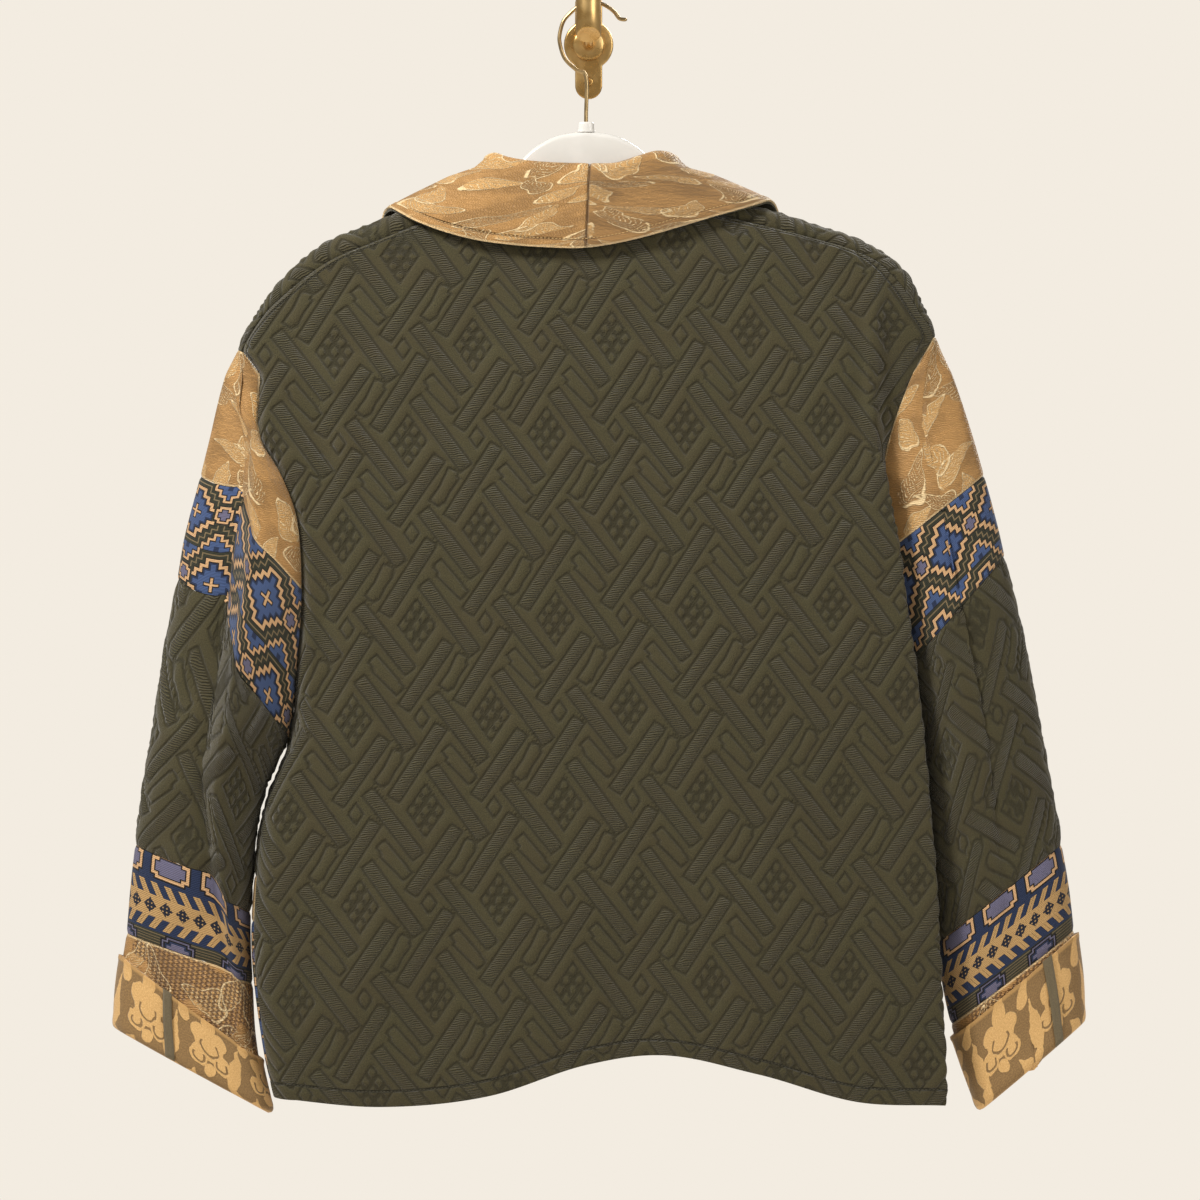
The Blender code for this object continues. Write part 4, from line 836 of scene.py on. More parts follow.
def shell(name, grid, normal, closed, facing, look, relief, places_uv, values, thick=CLOTH, out=0.0,
          coarse=6):
    """A thin closed wall: fine and raised outside, plain inside."""
    border = pulled_in(grid, normal, closed, SEAM_GAP / 2)
    outer = border + normal * (out + relief)[..., None]
    inner = pulled_in(grid, normal, closed, SEAM_GAP / 2 + INSIDE_INSET) + normal * (out - thick)
    index = np.arange(grid.shape[0] * grid.shape[1]).reshape(grid.shape[:2])
    inside = index + index.size
    faces = grid_faces(index, closed) + flipped(inner_faces(inside, closed, coarse))
    if closed:
        faces += flipped(grid_faces(np.stack([index[0], inside[0]]), True))
        faces += grid_faces(np.stack([index[-1], inside[-1]]), True)
    else:
        ring = np.array([border_loop(index)[0], border_loop(inside)[0]])
        faces += flipped(grid_faces(ring, True))
    if facing < 0:
        faces = flipped(faces)
    vertices = np.concatenate([outer.reshape(-1, 3), inner.reshape(-1, 3)])
    used = np.unique(np.concatenate([np.asarray(face) for face in faces]))
    number = np.full(len(vertices), -1)
    number[used] = np.arange(len(used))
    faces = [tuple(int(number[point]) for point in face) for face in faces]
    u, v = (np.concatenate([a.reshape(-1)] * 2)[used] for a in places_uv)
    piece = new_mesh(name, vertices[used], faces, look)
    mesh = piece.data
    corners = np.zeros(len(mesh.loops), int)
    mesh.loops.foreach_get("vertex_index", corners)
    layer = mesh.uv_layers.new(name="cloth")
    layer.data.foreach_set("uv", (np.stack([u, v], axis=-1)[corners] * MM).reshape(-1))
    for label, field in values.items():
        both = np.concatenate([field.reshape(-1)] * 2)[used]
        mesh.attributes.new(label, "FLOAT", "POINT").data.foreach_set("value", both)
    return piece


def new_object(name, data):
    thing = bpy.data.objects.new(name, data)
    bpy.context.scene.collection.objects.link(thing)
    return thing


def stand_for(piece, node, slot):
    """Hides the solid that the piece takes the place of and hangs the piece on the root body; slot, for
    its finish, is not used.
    """
    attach(piece, "root")
    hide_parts(node)


def on_hanger(vertices):
    """Places in metres, moved over to where the wire hangs."""
    return (np.asarray(vertices) + [HANG_X, 0.0, 0.0]) * MM


def new_mesh(name, vertices, faces, look, sharp=55):
    """A smooth mesh that keeps the edges which turn by more than this angle."""
    mesh = bpy.data.meshes.new(name)
    mesh.from_pydata(on_hanger(vertices).tolist(), [], faces)
    mesh.validate()
    mesh.shade_smooth()
    mesh.set_sharp_from_angle(angle=math.radians(sharp))
    mesh.materials.append(look)
    return new_object(name, mesh)


# Materials


class Value:
    """A number in a material's node tree. Arithmetic on it adds Math nodes."""

    def __init__(self, tree, socket):
        self.tree, self.socket = tree, socket

    def math(self, operation, *others):
        node = self.tree.nodes.new("ShaderNodeMath")
        node.operation = operation
        for slot, value in zip(node.inputs, (self, *others)):
            if isinstance(value, Value):
                self.tree.links.new(value.socket, slot)
            else:
                slot.default_value = value
        return Value(self.tree, node.outputs[0])

    def __add__(self, other):
        return self.math("ADD", other)

    def __sub__(self, other):
        return self.math("SUBTRACT", other)

    def __mul__(self, other):
        return self.math("MULTIPLY", other)

    def __truediv__(self, other):
        return self.math("DIVIDE", other)

    def __rsub__(self, other):
        return self * -1.0 + other

    def size(self):
        return self.math("ABSOLUTE")

    def sine(self, wave=1.0):
        return (self * (2 * math.pi / wave)).math("SINE")

    def least(self, *others):
        result = self
        for other in others:
            result = result.math("MINIMUM", other)
        return result

    def most(self, *others):
        result = self
        for other in others:
            result = result.math("MAXIMUM", other)
        return result

    def under(self, limit):
        return self.math("LESS_THAN", limit)

    def over(self, limit):
        return self.math("GREATER_THAN", limit)

    def within(self, low, high):
        """Rises smoothly from 0 at low to 1 at high."""
        node = self.tree.nodes.new("ShaderNodeMapRange")
        node.interpolation_type = "SMOOTHSTEP"
        self.tree.links.new(self.socket, node.inputs["Value"])
        node.inputs["From Min"].default_value = low
        node.inputs["From Max"].default_value = high
        return Value(self.tree, node.outputs["Result"])

    def repeat(self, length):
        """Distance from the middle of the repeat that this place falls in."""
        return ((self / length).math("FRACT") - 0.5) * length

    def row(self, length):
        return (self / length).math("FLOOR")


class Look:
    """One finish: its material, its node tree and the helpers that draw on the cloth's own places."""

    def __init__(self, name, rough, **constants):
        self.material = bpy.data.materials.new(name)
        self.material.use_nodes = True
        self.tree = self.material.node_tree
        self.shader = self.tree.nodes["Principled BSDF"]
        self.shader.inputs["Roughness"].default_value = rough
        for socket, value in constants.items():
            self.shader.inputs[socket.replace("_", " ")].default_value = value

    def add(self, kind, **settings):
        node = self.tree.nodes.new(kind)
        for key, value in settings.items():
            setattr(node, key, value)
        return node

    def cloth(self):
        """Places on the cloth in millimetres."""
        node = self.add("ShaderNodeUVMap", uv_map="cloth")
        parts = self.add("ShaderNodeSeparateXYZ")
        self.tree.links.new(node.outputs[0], parts.inputs[0])
        return Value(self.tree, parts.outputs[0]) * 1000.0, Value(self.tree, parts.outputs[1]) * 1000.0

    def attribute(self, label):
        return Value(self.tree, self.add("ShaderNodeAttribute", attribute_name=label).outputs["Fac"])

    def vector(self, x, y):
        node = self.add("ShaderNodeCombineXYZ")
        for slot, value in zip(node.inputs, (x, y)):
            self.tree.links.new(value.socket, slot)
        return node.outputs[0]

    def noise(self, x, y, detail=2.0):
        node = self.add("ShaderNodeTexNoise")
        node.inputs["Scale"].default_value = 1.0
        node.inputs["Detail"].default_value = detail
        self.tree.links.new(self.vector(x, y), node.inputs["Vector"])
        return Value(self.tree, node.outputs[0])

    def mottling(self, scale, detail):
        """Noise on the object's own places, for pieces without a flat cut."""
        node = self.add("ShaderNodeTexNoise")
        node.inputs["Scale"].default_value = scale
        node.inputs["Detail"].default_value = detail
        place = self.add("ShaderNodeTexCoord")
        self.tree.links.new(place.outputs["Object"], node.inputs["Vector"])
        return Value(self.tree, node.outputs[0])

    def wander(self, x, y, reach, detail=2.0):
        """Noise about 0 that spans this reach."""
        return (self.noise(x, y, detail) - 0.5) * reach

    def mix(self, share, first, second, blend="MIX"):
        node = self.add("ShaderNodeMix", data_type="RGBA", blend_type=blend)
        slots = (node.inputs[0], node.inputs[6], node.inputs[7])
        for slot, value in zip(slots, (share, first, second)):
            if isinstance(value, Value):
                self.tree.links.new(value.socket, slot)
            elif isinstance(value, tuple):
                slot.default_value = (*value, 1.0)
            else:
                slot.default_value = value
        return Value(self.tree, node.outputs[2])

    def bands(self, value, low, high, stops):
        """Flat colours that change where the value passes each stop."""
        node = self.add("ShaderNodeValToRGB")
        ramp = node.color_ramp
        ramp.interpolation = "CONSTANT"
        share = (value - low) * (1.0 / (high - low))
        self.tree.links.new(share.socket, node.inputs[0])
        while len(ramp.elements) < len(stops):
            ramp.elements.new(0.5)
        for element, (place, colour) in zip(ramp.elements, stops):
            element.position = (place - low) / (high - low)
        for element, (place, colour) in zip(ramp.elements, stops):
            element.color = (*colour, 1.0)
        return Value(self.tree, node.outputs[0])

    def finish(self, colour, height, rise):
        """Sets the colour, and a bump whose height times rise is in metres."""
        self.tree.links.new(colour.socket, self.shader.inputs["Base Color"])
        bump = self.add("ShaderNodeBump")
        bump.inputs["Strength"].default_value = 1.0
        bump.inputs["Distance"].default_value = rise
        self.tree.links.new(height.socket, bump.inputs["Height"])
        self.tree.links.new(bump.outputs[0], self.shader.inputs["Normal"])
        return self.material


def stitched(look, label="stitch"):
    """Depth from 0 to 1 of the groove along a line of top stitching, for its relief and its painted
    shade.
    """
    return 1.0 - look.attribute(label).size().within(0.25, 1.5)


def olive_look():
    look = Look("olive_quilting", 0.95, Sheen_Weight=0.25, Sheen_Roughness=0.5, Specular_IOR_Level=0.2)
    u, v = look.cloth()
    shape, ribs = look.attribute("quilt"), look.attribute("ribs")
    fine = look.noise(u * 1.1, v * 1.1, 3.0)
    broad = look.noise(u * 0.035, v * 0.035, 2.0)
    groove = 1.0 - shape.size().within(0.0, 2.0)
    wavy = v + look.wander(u * 0.12, v * 0.12, 3.0)
    rib = (wavy - u * 0.12).sine(1.75) * ribs.within(0.6, 1.8)
    weave = (u * 0.8 + v * 0.3).sine(1.1) * (v * 0.9 - u * 0.2).sine(0.95)
    # Random tone from fine noise, with painted shading that follows the ribs: ridges lighter, hollows
    # darker
    shade = (fine * 0.8 + rib * 0.22 + 0.1).within(0.15, 0.85)
    colour = look.mix(shade, OLIVE_DARK, OLIVE_LIGHT)
    colour = look.mix(broad.within(0.3, 0.7) * 0.35, colour, OLIVE_WARM)
    line = groove.most(stitched(look) * 1.6)
    # Painted shade: the quilting and top-stitching grooves are darkened
    colour = look.mix((line * 0.5).least(0.85), colour, OLIVE_GROOVE_SHADE)
    height = rib * 0.75 + weave * 0.12 + fine * 0.9 - line * 1.3
    return look.finish(colour, height, QUILT_RISE)


def gold_look(name, pale, scales=False):
    """Brocade: leaves in raised cream outlines, each filled with strokes out from its midrib."""
    look = Look(name, 0.5, Sheen_Weight=0.15, Specular_IOR_Level=0.45)
    u, v = look.cloth()
    bend_u = u + look.wander(u * 0.03, v * 0.03, 26.0, 1.0)
    bend_v = v + look.wander(u * 0.03 + 7.0, v * 0.03, 26.0, 1.0)
    rough_u = bend_u + look.wander(u * 0.3, v * 0.3, 2.4)
    x = (rough_u + bend_v.row(BROCADE_TALL) * (BROCADE_WIDE * 0.5)).repeat(BROCADE_WIDE)
    y = bend_v.repeat(BROCADE_TALL)
    broken = look.noise(u * 0.45, v * 0.45, 2.0).within(0.38, 0.56)
    strokes, filled, dark, rims = [], [], [], []
    for number, leaf in enumerate(BROCADE_LEAVES):
        figure, along, beside = leaf_parts(x, y, leaf)
        inside = figure.within(0.0, 0.06)
        (filled if number % 3 else dark).append(inside * (0.55 + 0.1 * number))
        vein = (along - beside.size() * 1.5).sine(3.4 + 0.5 * (number % 2)).within(0.35, 0.9)
        strokes.append(vein * inside * figure.within(0.1, 0.3))
        rims.append(1.0 - figure.size().within(0.05, 0.16))
    stroke, leafy, shade, rim = (one[0].most(*one[1:]) for one in (strokes, filled, dark, rims))
    thin = (u * 0.5 + v + look.wander(u * 0.2, v * 0.2, 4.0)).sine(1.5) * 0.5 + 0.5
    broad = look.noise(u * 0.03 + 3.0, v * 0.03, 2.0).within(0.38, 0.62)
    fine = look.noise(u * 1.2, v * 1.2, 3.0)
    ground = look.mix(broad * 0.75 + fine * 0.25, GOLD_DEEP, GOLD_MID)
    ground = look.mix(shade * 0.7, ground, GOLD_DEEP)
    colour = look.mix(leafy * 0.7 + thin * 0.22, ground, GOLD_LIGHT)
    colour = look.mix(stroke * broken * 0.95, colour, pale)
    height = thin * 0.5 + leafy * 0.5 + stroke * broken * 0.9
    if scales:
        across = u.repeat(4.2).size() * 0.9 + (v + u.row(4.2) * 1.6).repeat(3.4).size()
        dots = across.within(1.3, 2.2) * look.noise(u * 0.022 + 2.0, v * 0.022, 1.0).within(0.46, 0.5)
        colour = look.mix(dots * 0.8, colour, GOLD_DOTS_AND_GROOVE_SHADE)
        height = height - dots * 1.4
    outline = rim * look.noise(u * 0.08 + 4.0, v * 0.08, 2.0).within(0.35, 0.45)
    colour = look.mix(outline * 0.95, colour, pale)
    height = height + outline * 1.0 + fine * 0.4
    groove = stitched(look)
    # Painted shade: the top-stitching groove is darkened
    colour = look.mix(groove * 0.6, colour, GOLD_DOTS_AND_GROOVE_SHADE)
    seam = 1.0 - look.attribute("edge").within(0.9, 2.2)
    colour = look.mix(seam * 0.6, colour, pale)
    return look.finish(colour, height - groove * 2.0, BROCADE_RISE)


def leaf_parts(x, y, leaf):
    """Over 0 inside a pointed leaf, turned by an angle, and the places along and beside its midrib."""
    place_x, place_y, angle, long, wide = leaf
    cosine, sine = math.cos(math.radians(angle)), math.sin(math.radians(angle))
    dx, dy = x - place_x, y - place_y
    along, beside = dx * cosine + dy * sine, dy * cosine - dx * sine
    taper = (along / long * -0.55 + 1.0).most(0.12)
    inside = 1.0 - (along / long) * (along / long) - (beside / wide / taper) * (beside / wide / taper)
    return inside, along, beside


def damask_look():
    """Blossoms with curls, between long leaves, light on a dark ground."""
    look = Look("cuff_damask", 0.62, Sheen_Weight=0.2, Specular_IOR_Level=0.35)
    u, v = look.cloth()
    wobble = look.wander(u * 0.09, v * 0.09, 6.0)
    x = (u + wobble + 12.0).repeat(DAMASK_WIDE)
    y = (wobble - v + DAMASK_TALL / 2).repeat(DAMASK_TALL)
    shapes = [leaf_parts(x, y, leaf)[0] for leaf in DAMASK_LEAVES]
    shapes += [1.0 - ((x - a) * (x - a) + (y - b) * (y - b)) / (r * r) for a, b, r in DAMASK_PETALS]
    figure = shapes[0].most(*shapes[1:])
    curls = [
        (((x - a) * (x - a) + (y - b) * (y - b)).math("SQRT") - r).size().most(y - (b + r * 0.3))
        for a, b, r in DAMASK_CURLS
    ]
    curl = curls[0].least(*curls[1:])
    inside = figure.within(-0.06, 0.08) * curl.within(0.5, 1.1)
    speck = look.noise(u * 0.9, v * 0.9, 3.0)
    ground = look.mix(speck.within(0.35, 0.7), DAMASK_GROUND, DAMASK_GROUND_LIGHT)
    light = look.mix(speck.within(0.3, 0.75), DAMASK_LEAF, DAMASK_LEAF_LIGHT)
    colour = look.mix(inside, ground, light)
    seam = 1.0 - look.attribute("edge").within(2.0, 4.5)
    colour = look.mix(seam * 0.6, colour, DAMASK_LEAF)
    height = inside * 0.8 + speck * 0.5
    return look.finish(colour, height, DAMASK_RISE)


def stepped_cross(x, y, steps):
    """Distance outside a cross with stepped arms, made of boxes."""
    boxes = [(x.size() - wide).most(y.size() - tall) for wide, tall in steps]
    return boxes[0].least(*boxes[1:])


def woven_finish(look, u, v, colour, fleck_rise):
    """Flecks and cross cords over a woven pattern's flat colours, with painted shade in the hollows
    between the cords.
    """
    fleck = look.noise(u * 0.9, v * fleck_rise, 3.0)
    colour = look.mix(fleck.within(0.35, 0.7) * 0.45, colour, KILIM_PALE, "SOFT_LIGHT")
    cords = (v + fleck * 0.4).sine(CORD_PITCH) * 0.5 + 0.5
    # Painted shade darkens the hollows between the cords
    colour = look.mix((1.0 - cords) * 0.3, colour, CORD_SHADE)
    return look.finish(colour, cords * 0.7 + fleck * 0.5, WEAVE_RISE)


def kilim_look():
    """Stepped crosses in rows, with smaller ones between them."""
    look = Look("kilim_weave", 0.9, Sheen_Weight=0.15, Specular_IOR_Level=0.25)
    u, v = look.cloth()
    shift = v.row(KILIM_TALL) * (KILIM_WIDE / 2)
    x, y = (u + shift).repeat(KILIM_WIDE), v.repeat(KILIM_TALL)
    cross = stepped_cross(x, y, KILIM_CROSS)
    colour = look.bands(cross, -10.0, 30.0, KILIM_BANDS)
    between = (u + shift + KILIM_WIDE / 2).repeat(KILIM_WIDE)
    corner = stepped_cross(between, (v - 3.0).repeat(KILIM_TALL), KILIM_SMALL)
    small = look.bands(corner, -6.0, 8.0, KILIM_SMALL_BANDS)
    colour = look.mix(corner.under(4.2), colour, small)
    return woven_finish(look, u, v, colour, 0.45)


def border_look():
    """From the top: a row of blocks, slanted stripes round a line of lozenges, and a lined foot."""
    look = Look("border_weave", 0.9, Sheen_Weight=0.15, Specular_IOR_Level=0.25)
    u, v = look.cloth()
    down = v * -1.2
    from_middle = (down - BORDER_MIDDLE).size()
    block = stepped_cross((u + 4.0).repeat(44.0), down - 8.5, [(13.0, 4.0), (9.0, 7.0)])
    top = look.bands(block, -8.0, 16.0, BORDER_BLOCKS)
    slope = (u - from_middle * 0.62).repeat(12.5)
    stripes = look.bands(slope.size(), 0.0, 6.5, [(0.0, NAVY), (2.9, BLACK), (3.3, TAN), (6.1, BLACK)])
    motif = (u + 3.0).repeat(14.5).size() * 0.9 + from_middle * 0.8
    dots = (u.repeat(3.4).size() + (down - BORDER_MIDDLE).repeat(3.4).size()).under(0.9)
    dark = look.mix(dots * 0.9, NAVY_DARK, TAN)
    middle = look.mix(motif.under(5.4), TAN, dark)
    lines = down.sine(2.6).over(0.1)
    low = look.mix(lines * 0.55, GREEN_DARK, GREEN_GREY)
    steps = stepped_cross((u + 10.0).repeat(52.0), down - 77.0, [(11.0, 3.0), (7.0, 6.0)])
    low = look.mix(steps.under(4.2), low, look.bands(steps, -6.0, 5.0, BORDER_STEPS))
    colour = look.mix(down.over(BORDER_EDGE), top, NAVY)
    colour = look.mix(down.over(BORDER_STRIPES), colour, stripes)
    colour = look.mix(from_middle.under(9.5), colour, middle)
    colour = look.mix(down.over(BORDER_FOOT), colour, NAVY)
    colour = look.mix(down.over(BORDER_LINES), colour, low)
    return woven_finish(look, u, v, colour, 0.5)


def khaki_look():
    look = Look("khaki_twill", 0.85, Sheen_Weight=0.2)
    u, v = look.cloth()
    twill = (u + v).sine(1.2)
    fleck = look.noise(u * 0.8, v * 0.8, 2.0)
    colour = look.mix(fleck, KHAKI_DARK, KHAKI)
    return look.finish(colour, twill * 0.4 + fleck * 0.4, TWILL_RISE)


def thread_look(name, colour, light):
    """Thread whose twist shows as fine mottling."""
    look = Look(name, 0.7)
    twist = look.mottling(THREAD_SCALE, 2.0)
    return look.finish(look.mix(twist, colour, light), twist, THREAD_RISE)


def solid_look(name, dark, light, rough, scale, rise, **constants):
    """A finish of plastic or metal: faint mottling, smudges in its gloss and a slight unevenness."""
    look = Look(name, rough, **constants)
    worn = look.mottling(scale, 3.0).within(0.35, 0.7)
    gloss = worn * 0.1 + (rough - 0.05)
    look.tree.links.new(gloss.socket, look.shader.inputs["Roughness"])
    return look.finish(look.mix(worn, dark, light), look.mottling(scale * 6, 3.0), rise)


# Stitches


def stitch_tree(look):
    """Lays stitches of a given length and spacing along the edges of a mesh of lines."""
    tree = bpy.data.node_groups.new("stitches", "GeometryNodeTree")
    face = tree.interface
    face.new_socket("Line", in_out="INPUT", socket_type="NodeSocketGeometry")
    for label in ("Spacing", "Length", "Thickness"):
        face.new_socket(label, in_out="INPUT", socket_type="NodeSocketFloat")
    face.new_socket("Stitches", in_out="OUTPUT", socket_type="NodeSocketGeometry")
    add = tree.nodes.new
    start, stop = add("NodeGroupInput"), add("NodeGroupOutput")
    line, spaced = add("GeometryNodeMeshToCurve"), add("GeometryNodeResampleCurve")
    spaced.mode = "LENGTH"
    instance, real = add("GeometryNodeInstanceOnPoints"), add("GeometryNodeRealizeInstances")
    turn, tangent = add("FunctionNodeAlignEulerToVector"), add("GeometryNodeInputTangent")
    turn.axis = "Z"
    shape, size = add("GeometryNodeMeshUVSphere"), add("ShaderNodeCombineXYZ")
    paint = add("GeometryNodeSetMaterial")
    for socket, value in (("Segments", 6), ("Rings", 4), ("Radius", 1.0)):
        shape.inputs[socket].default_value = value
    paint.inputs["Material"].default_value = look
    for source, output, target, socket in (
        (start, "Line", line, "Mesh"), (line, 0, spaced, "Curve"), (start, "Spacing", spaced, "Length"),
        (spaced, 0, instance, "Points"), (shape, "Mesh", instance, "Instance"),
        (tangent, 0, turn, "Vector"), (turn, 0, instance, "Rotation"),
        (start, "Thickness", size, "X"), (start, "Thickness", size, "Y"), (start, "Length", size, "Z"),
        (size, 0, instance, "Scale"), (instance, 0, real, 0), (real, 0, paint, "Geometry"),
        (paint, 0, stop, "Stitches"),
    ):
        tree.links.new(source.outputs[output], target.inputs[socket])
    return tree


def sew(name, lines, look, spacing=3.0, length=1.05, thick=0.32):
    """A piece made of all the stitches along these lines."""
    vertices, edge_list = [], []
    for line in lines:
        first = len(vertices)
        vertices += list(on_hanger(line))
        edge_list += [(first + i, first + i + 1) for i in range(len(line) - 1)]
    mesh = bpy.data.meshes.new(name + "_line")
    mesh.from_pydata([tuple(map(float, v)) for v in vertices], edge_list, [])
    guide = new_object(name + "_line", mesh)
    tree = stitch_tree(look)
    modifier = guide.modifiers.new("stitches", "NODES")
    modifier.node_group = tree
    wanted = {"Spacing": spacing * MM, "Length": length * MM, "Thickness": thick * MM}
    for item in tree.interface.items_tree:
        if item.name in wanted:
            modifier[item.identifier] = wanted[item.name]
    bpy.context.view_layer.update()
    evaluated = guide.evaluated_get(bpy.context.evaluated_depsgraph_get())
    made = bpy.data.meshes.new_from_object(evaluated)
    made.shade_smooth()
    piece = new_object(name, made)
    bpy.data.objects.remove(guide, do_unlink=True)
    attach(piece, "root")
    return piece


# Building


def panel(name, grid, facing, closed=False):
    """One piece of the cut; facing is 1 or -1, the side on which its normals come out."""
    return {"name": name, "grid": grid, "closed": closed, "facing": facing}


def body_grids():
    """Fine grids of the back, fronts and sleeves, which share their points along each seam."""
    below = np.linspace(0, 5, ROWS_BELOW * FINE + 1)
    armhole = np.linspace(5, 11, ROWS_ARMHOLE * FINE + 1)
    shoulder = np.linspace(12, 17, ROWS_SHOULDER * FINE + 1)
    low, high = back_rows(np.concatenate([below, armhole[1:]])), back_rows(shoulder)
    bridge = low[-1] + (high[0] - low[-1]) * (np.arange(1, FINE) / FINE)[:, None, None]
    grids = [panel("back", np.concatenate([low, bridge, high]), 1)]
    angles = np.linspace(-90, 90, FOLD_STEPS + 1)
    yoke_end, band_end = (
        len(armhole) - 1 + int(ROWS_BELOW * FINE * share) for share in (YOKE_SHARE, BAND_SHARE)
    )
    for side in ("left", "right"):
        facing = 1 if side == "left" else -1
        over = shoulder_rows(side, shoulder, angles)
        down = np.concatenate([armhole[::-1], below[::-1][1:]])
        front = front_rows(side, down, over[-1])
        front[..., 2] += np.clip(1 - down / 4, 0, 1)[:, None] ** 2 * hem_lift(front[..., 0])
        cuts = (
            ("yoke", 0, yoke_end), ("band", yoke_end, band_end), ("lower", band_end, len(down) - 1),
        )
        for piece, start, stop in cuts:
            lines = front[start:stop + 1]
            if piece == "yoke":
                steps = np.arange(1, FINE)[:, None, None] / FINE
                gap = over[-1] + (front[0] - over[-1]) * steps
                lines = np.concatenate([over, gap, lines])
            grids.append(panel(f"front_{piece}_{side}", lines, facing))
        grids += sleeve_grids(side, facing, armhole, angles)
    return grids


def fine_counts(grid, axis):
    """How many fine steps each wide step of a grid has."""
    size = np.linalg.norm(np.diff(grid, axis=axis), axis=-1).max(axis=1 - axis)
    return [max(1, int(round(length / FINE_STEP))) for length in size]


def sleeve_grids(side, facing, armhole, angles):
    wide = sleeve_rows(side, np.linspace(11, 5, SLEEVE_WIDE))
    wide[0] = armhole_top(side, wide.shape[1], np.linspace(-90, 90, 7))
    across = fine_counts(wide, 1)
    arcs = refine(wide, [FINE] * (SLEEVE_WIDE - 1), across, False)
    exact = sleeve_rows(side, armhole[::-1])
    arcs[:, 0], arcs[:, -1] = exact[:, 0], exact[:, -1]
    arcs[0] = armhole_top(side, arcs.shape[1], angles)
    gold = GOLD_STEPS[side] * FINE
    grids = [
        panel(f"sleeve_gold_{side}", arcs[: gold + 1], facing),
        panel(f"sleeve_kilim_{side}", arcs[gold:], facing),
    ]
    lines = sleeve_rows(side, np.linspace(5, -5, 11))
    tube = refine(lines, [TUBE_FINE] * 10, across, False)[:, :-1]
    for piece, start, stop in (("lower", 5, 0), ("border", 0, -2), ("end", -2, -5)):
        rows = slice((5 - start) * TUBE_FINE, (5 - stop) * TUBE_FINE + 1)
        grids.append(panel(f"sleeve_{piece}_{side}", tube[rows], facing, True))
    return grids


def dress(one, looks):
    """The shell of one panel, with its quilting, seams and creases."""
    grid, closed, facing, name = one["grid"], one["closed"], one["facing"], one["name"]
    look = next(look for key, look in PANEL_LOOKS.items() if name.startswith(key))
    edge = edges(grid, closed)
    near = nearest_edge(edge)
    if name == "back":
        u, v = cloth_places(grid, upright=True)
        free = step_up(4.0, 24.0, np.minimum(edge["left"], edge["right"]))
        moved = creases(grid, one["normal"], BACK_CREASES)
        grid = grid + (moved - grid) * free[..., None]
    elif name.startswith("front_"):
        u, v = cloth_places(grid)
    else:
        u, v = cloth_places(grid)
        moved = creases(grid, one["normal"], SLEEVE_CREASES[name.split("_")[-1]])
        grid = grid + (moved - grid) * step_up(1.0, 14.0, near)[..., None]
    values = {"edge": near, "stitch": near * 0 + NO_STITCH}
    relief = -SEAM_SINK * np.exp(-near / 1.4)
    if look == "olive":
        distance, ribs = quilt_field(u, v)
        flat = step_up(1.5, 9.0, near)
        if name == "back":
            flat = flat * step_up(-858, -835, grid[..., 2] - hem_lift(grid[..., 0]) * 0.9)
            flat = flat * (0.45 + 0.55 * step_up(-150, -330, grid[..., 2]))
        values["quilt"], values["ribs"] = distance, ribs
        relief = relief + (puffed(distance) * QUILT_HIGH - 0.6) * flat
        if name == "back":
            at_shoulder = np.arange(len(grid)) >= len(grid) - ROWS_SHOULDER * FINE - 4
            away = np.where(at_shoulder, 0.0, 80.0)[:, None]
            seams = np.minimum(edge["left"], edge["right"]) - SHOULDER_STITCH + away
            values["stitch"] = np.minimum(seams, edge["start"] - HEM_STITCH)
            relief = relief + 0.5 * step_up(1.0, -1.5, values["stitch"])
    piece = shell(name + "_cloth", grid, one["normal"], closed, facing, looks[look], relief,
                  (u, v), values)
    declare(piece, name, grid, look.split("_")[0], closed)
    one["shown"], one["edge"], one["relief"] = grid, edge, relief
    return piece


def hem_lift(x):
    return curve(HEM["x"], HEM["lift"], x)


def declare(piece, node, grid, look, closed):
    """Hides the solid that the piece stands for and hangs the piece on the root body; the size that its
    cloth was cut to is worked out but not used.
    """
    stand_for(piece, node, look)
    across, down = arc(grid, 1), arc(grid, 0)
    width = across[:, -1].max() + (FINE_STEP if closed else 0)
    length = down[-1].max()
    area = surface(grid, closed)
    flat = (width * MM, max(length, area / width) * MM)
    min(area * MM * MM, flat[0] * flat[1])


def surface(grid, closed):
    """Area of a grid's faces."""
    return float(np.linalg.norm(face_crosses(grid, closed), axis=-1).sum() / 2)


def inset(one, key, distance, start=0.0, lift=0.15):
    """The line on a panel at a distance from one of its borders, from a share of its rows on."""
    fields = one["shown"], one["normal"], one["edge"][key], one["relief"]
    if key in ("start", "stop"):
        fields = (field.swapaxes(0, 1) for field in fields)
    grid, normal, edge, relief = fields
    line = []
    for row in range(int(start * (len(grid) - 1)), len(grid)):
        order = np.argsort(edge[row], kind="stable")
        near = edge[row][order]
        place, n = (
            np.array([np.interp(distance, near, field[row, order, axis]) for axis in range(3)])
            for field in (grid, normal)
        )
        line.append(place + n * (np.interp(distance, near, relief[row, order]) + lift))
    return np.array(line)


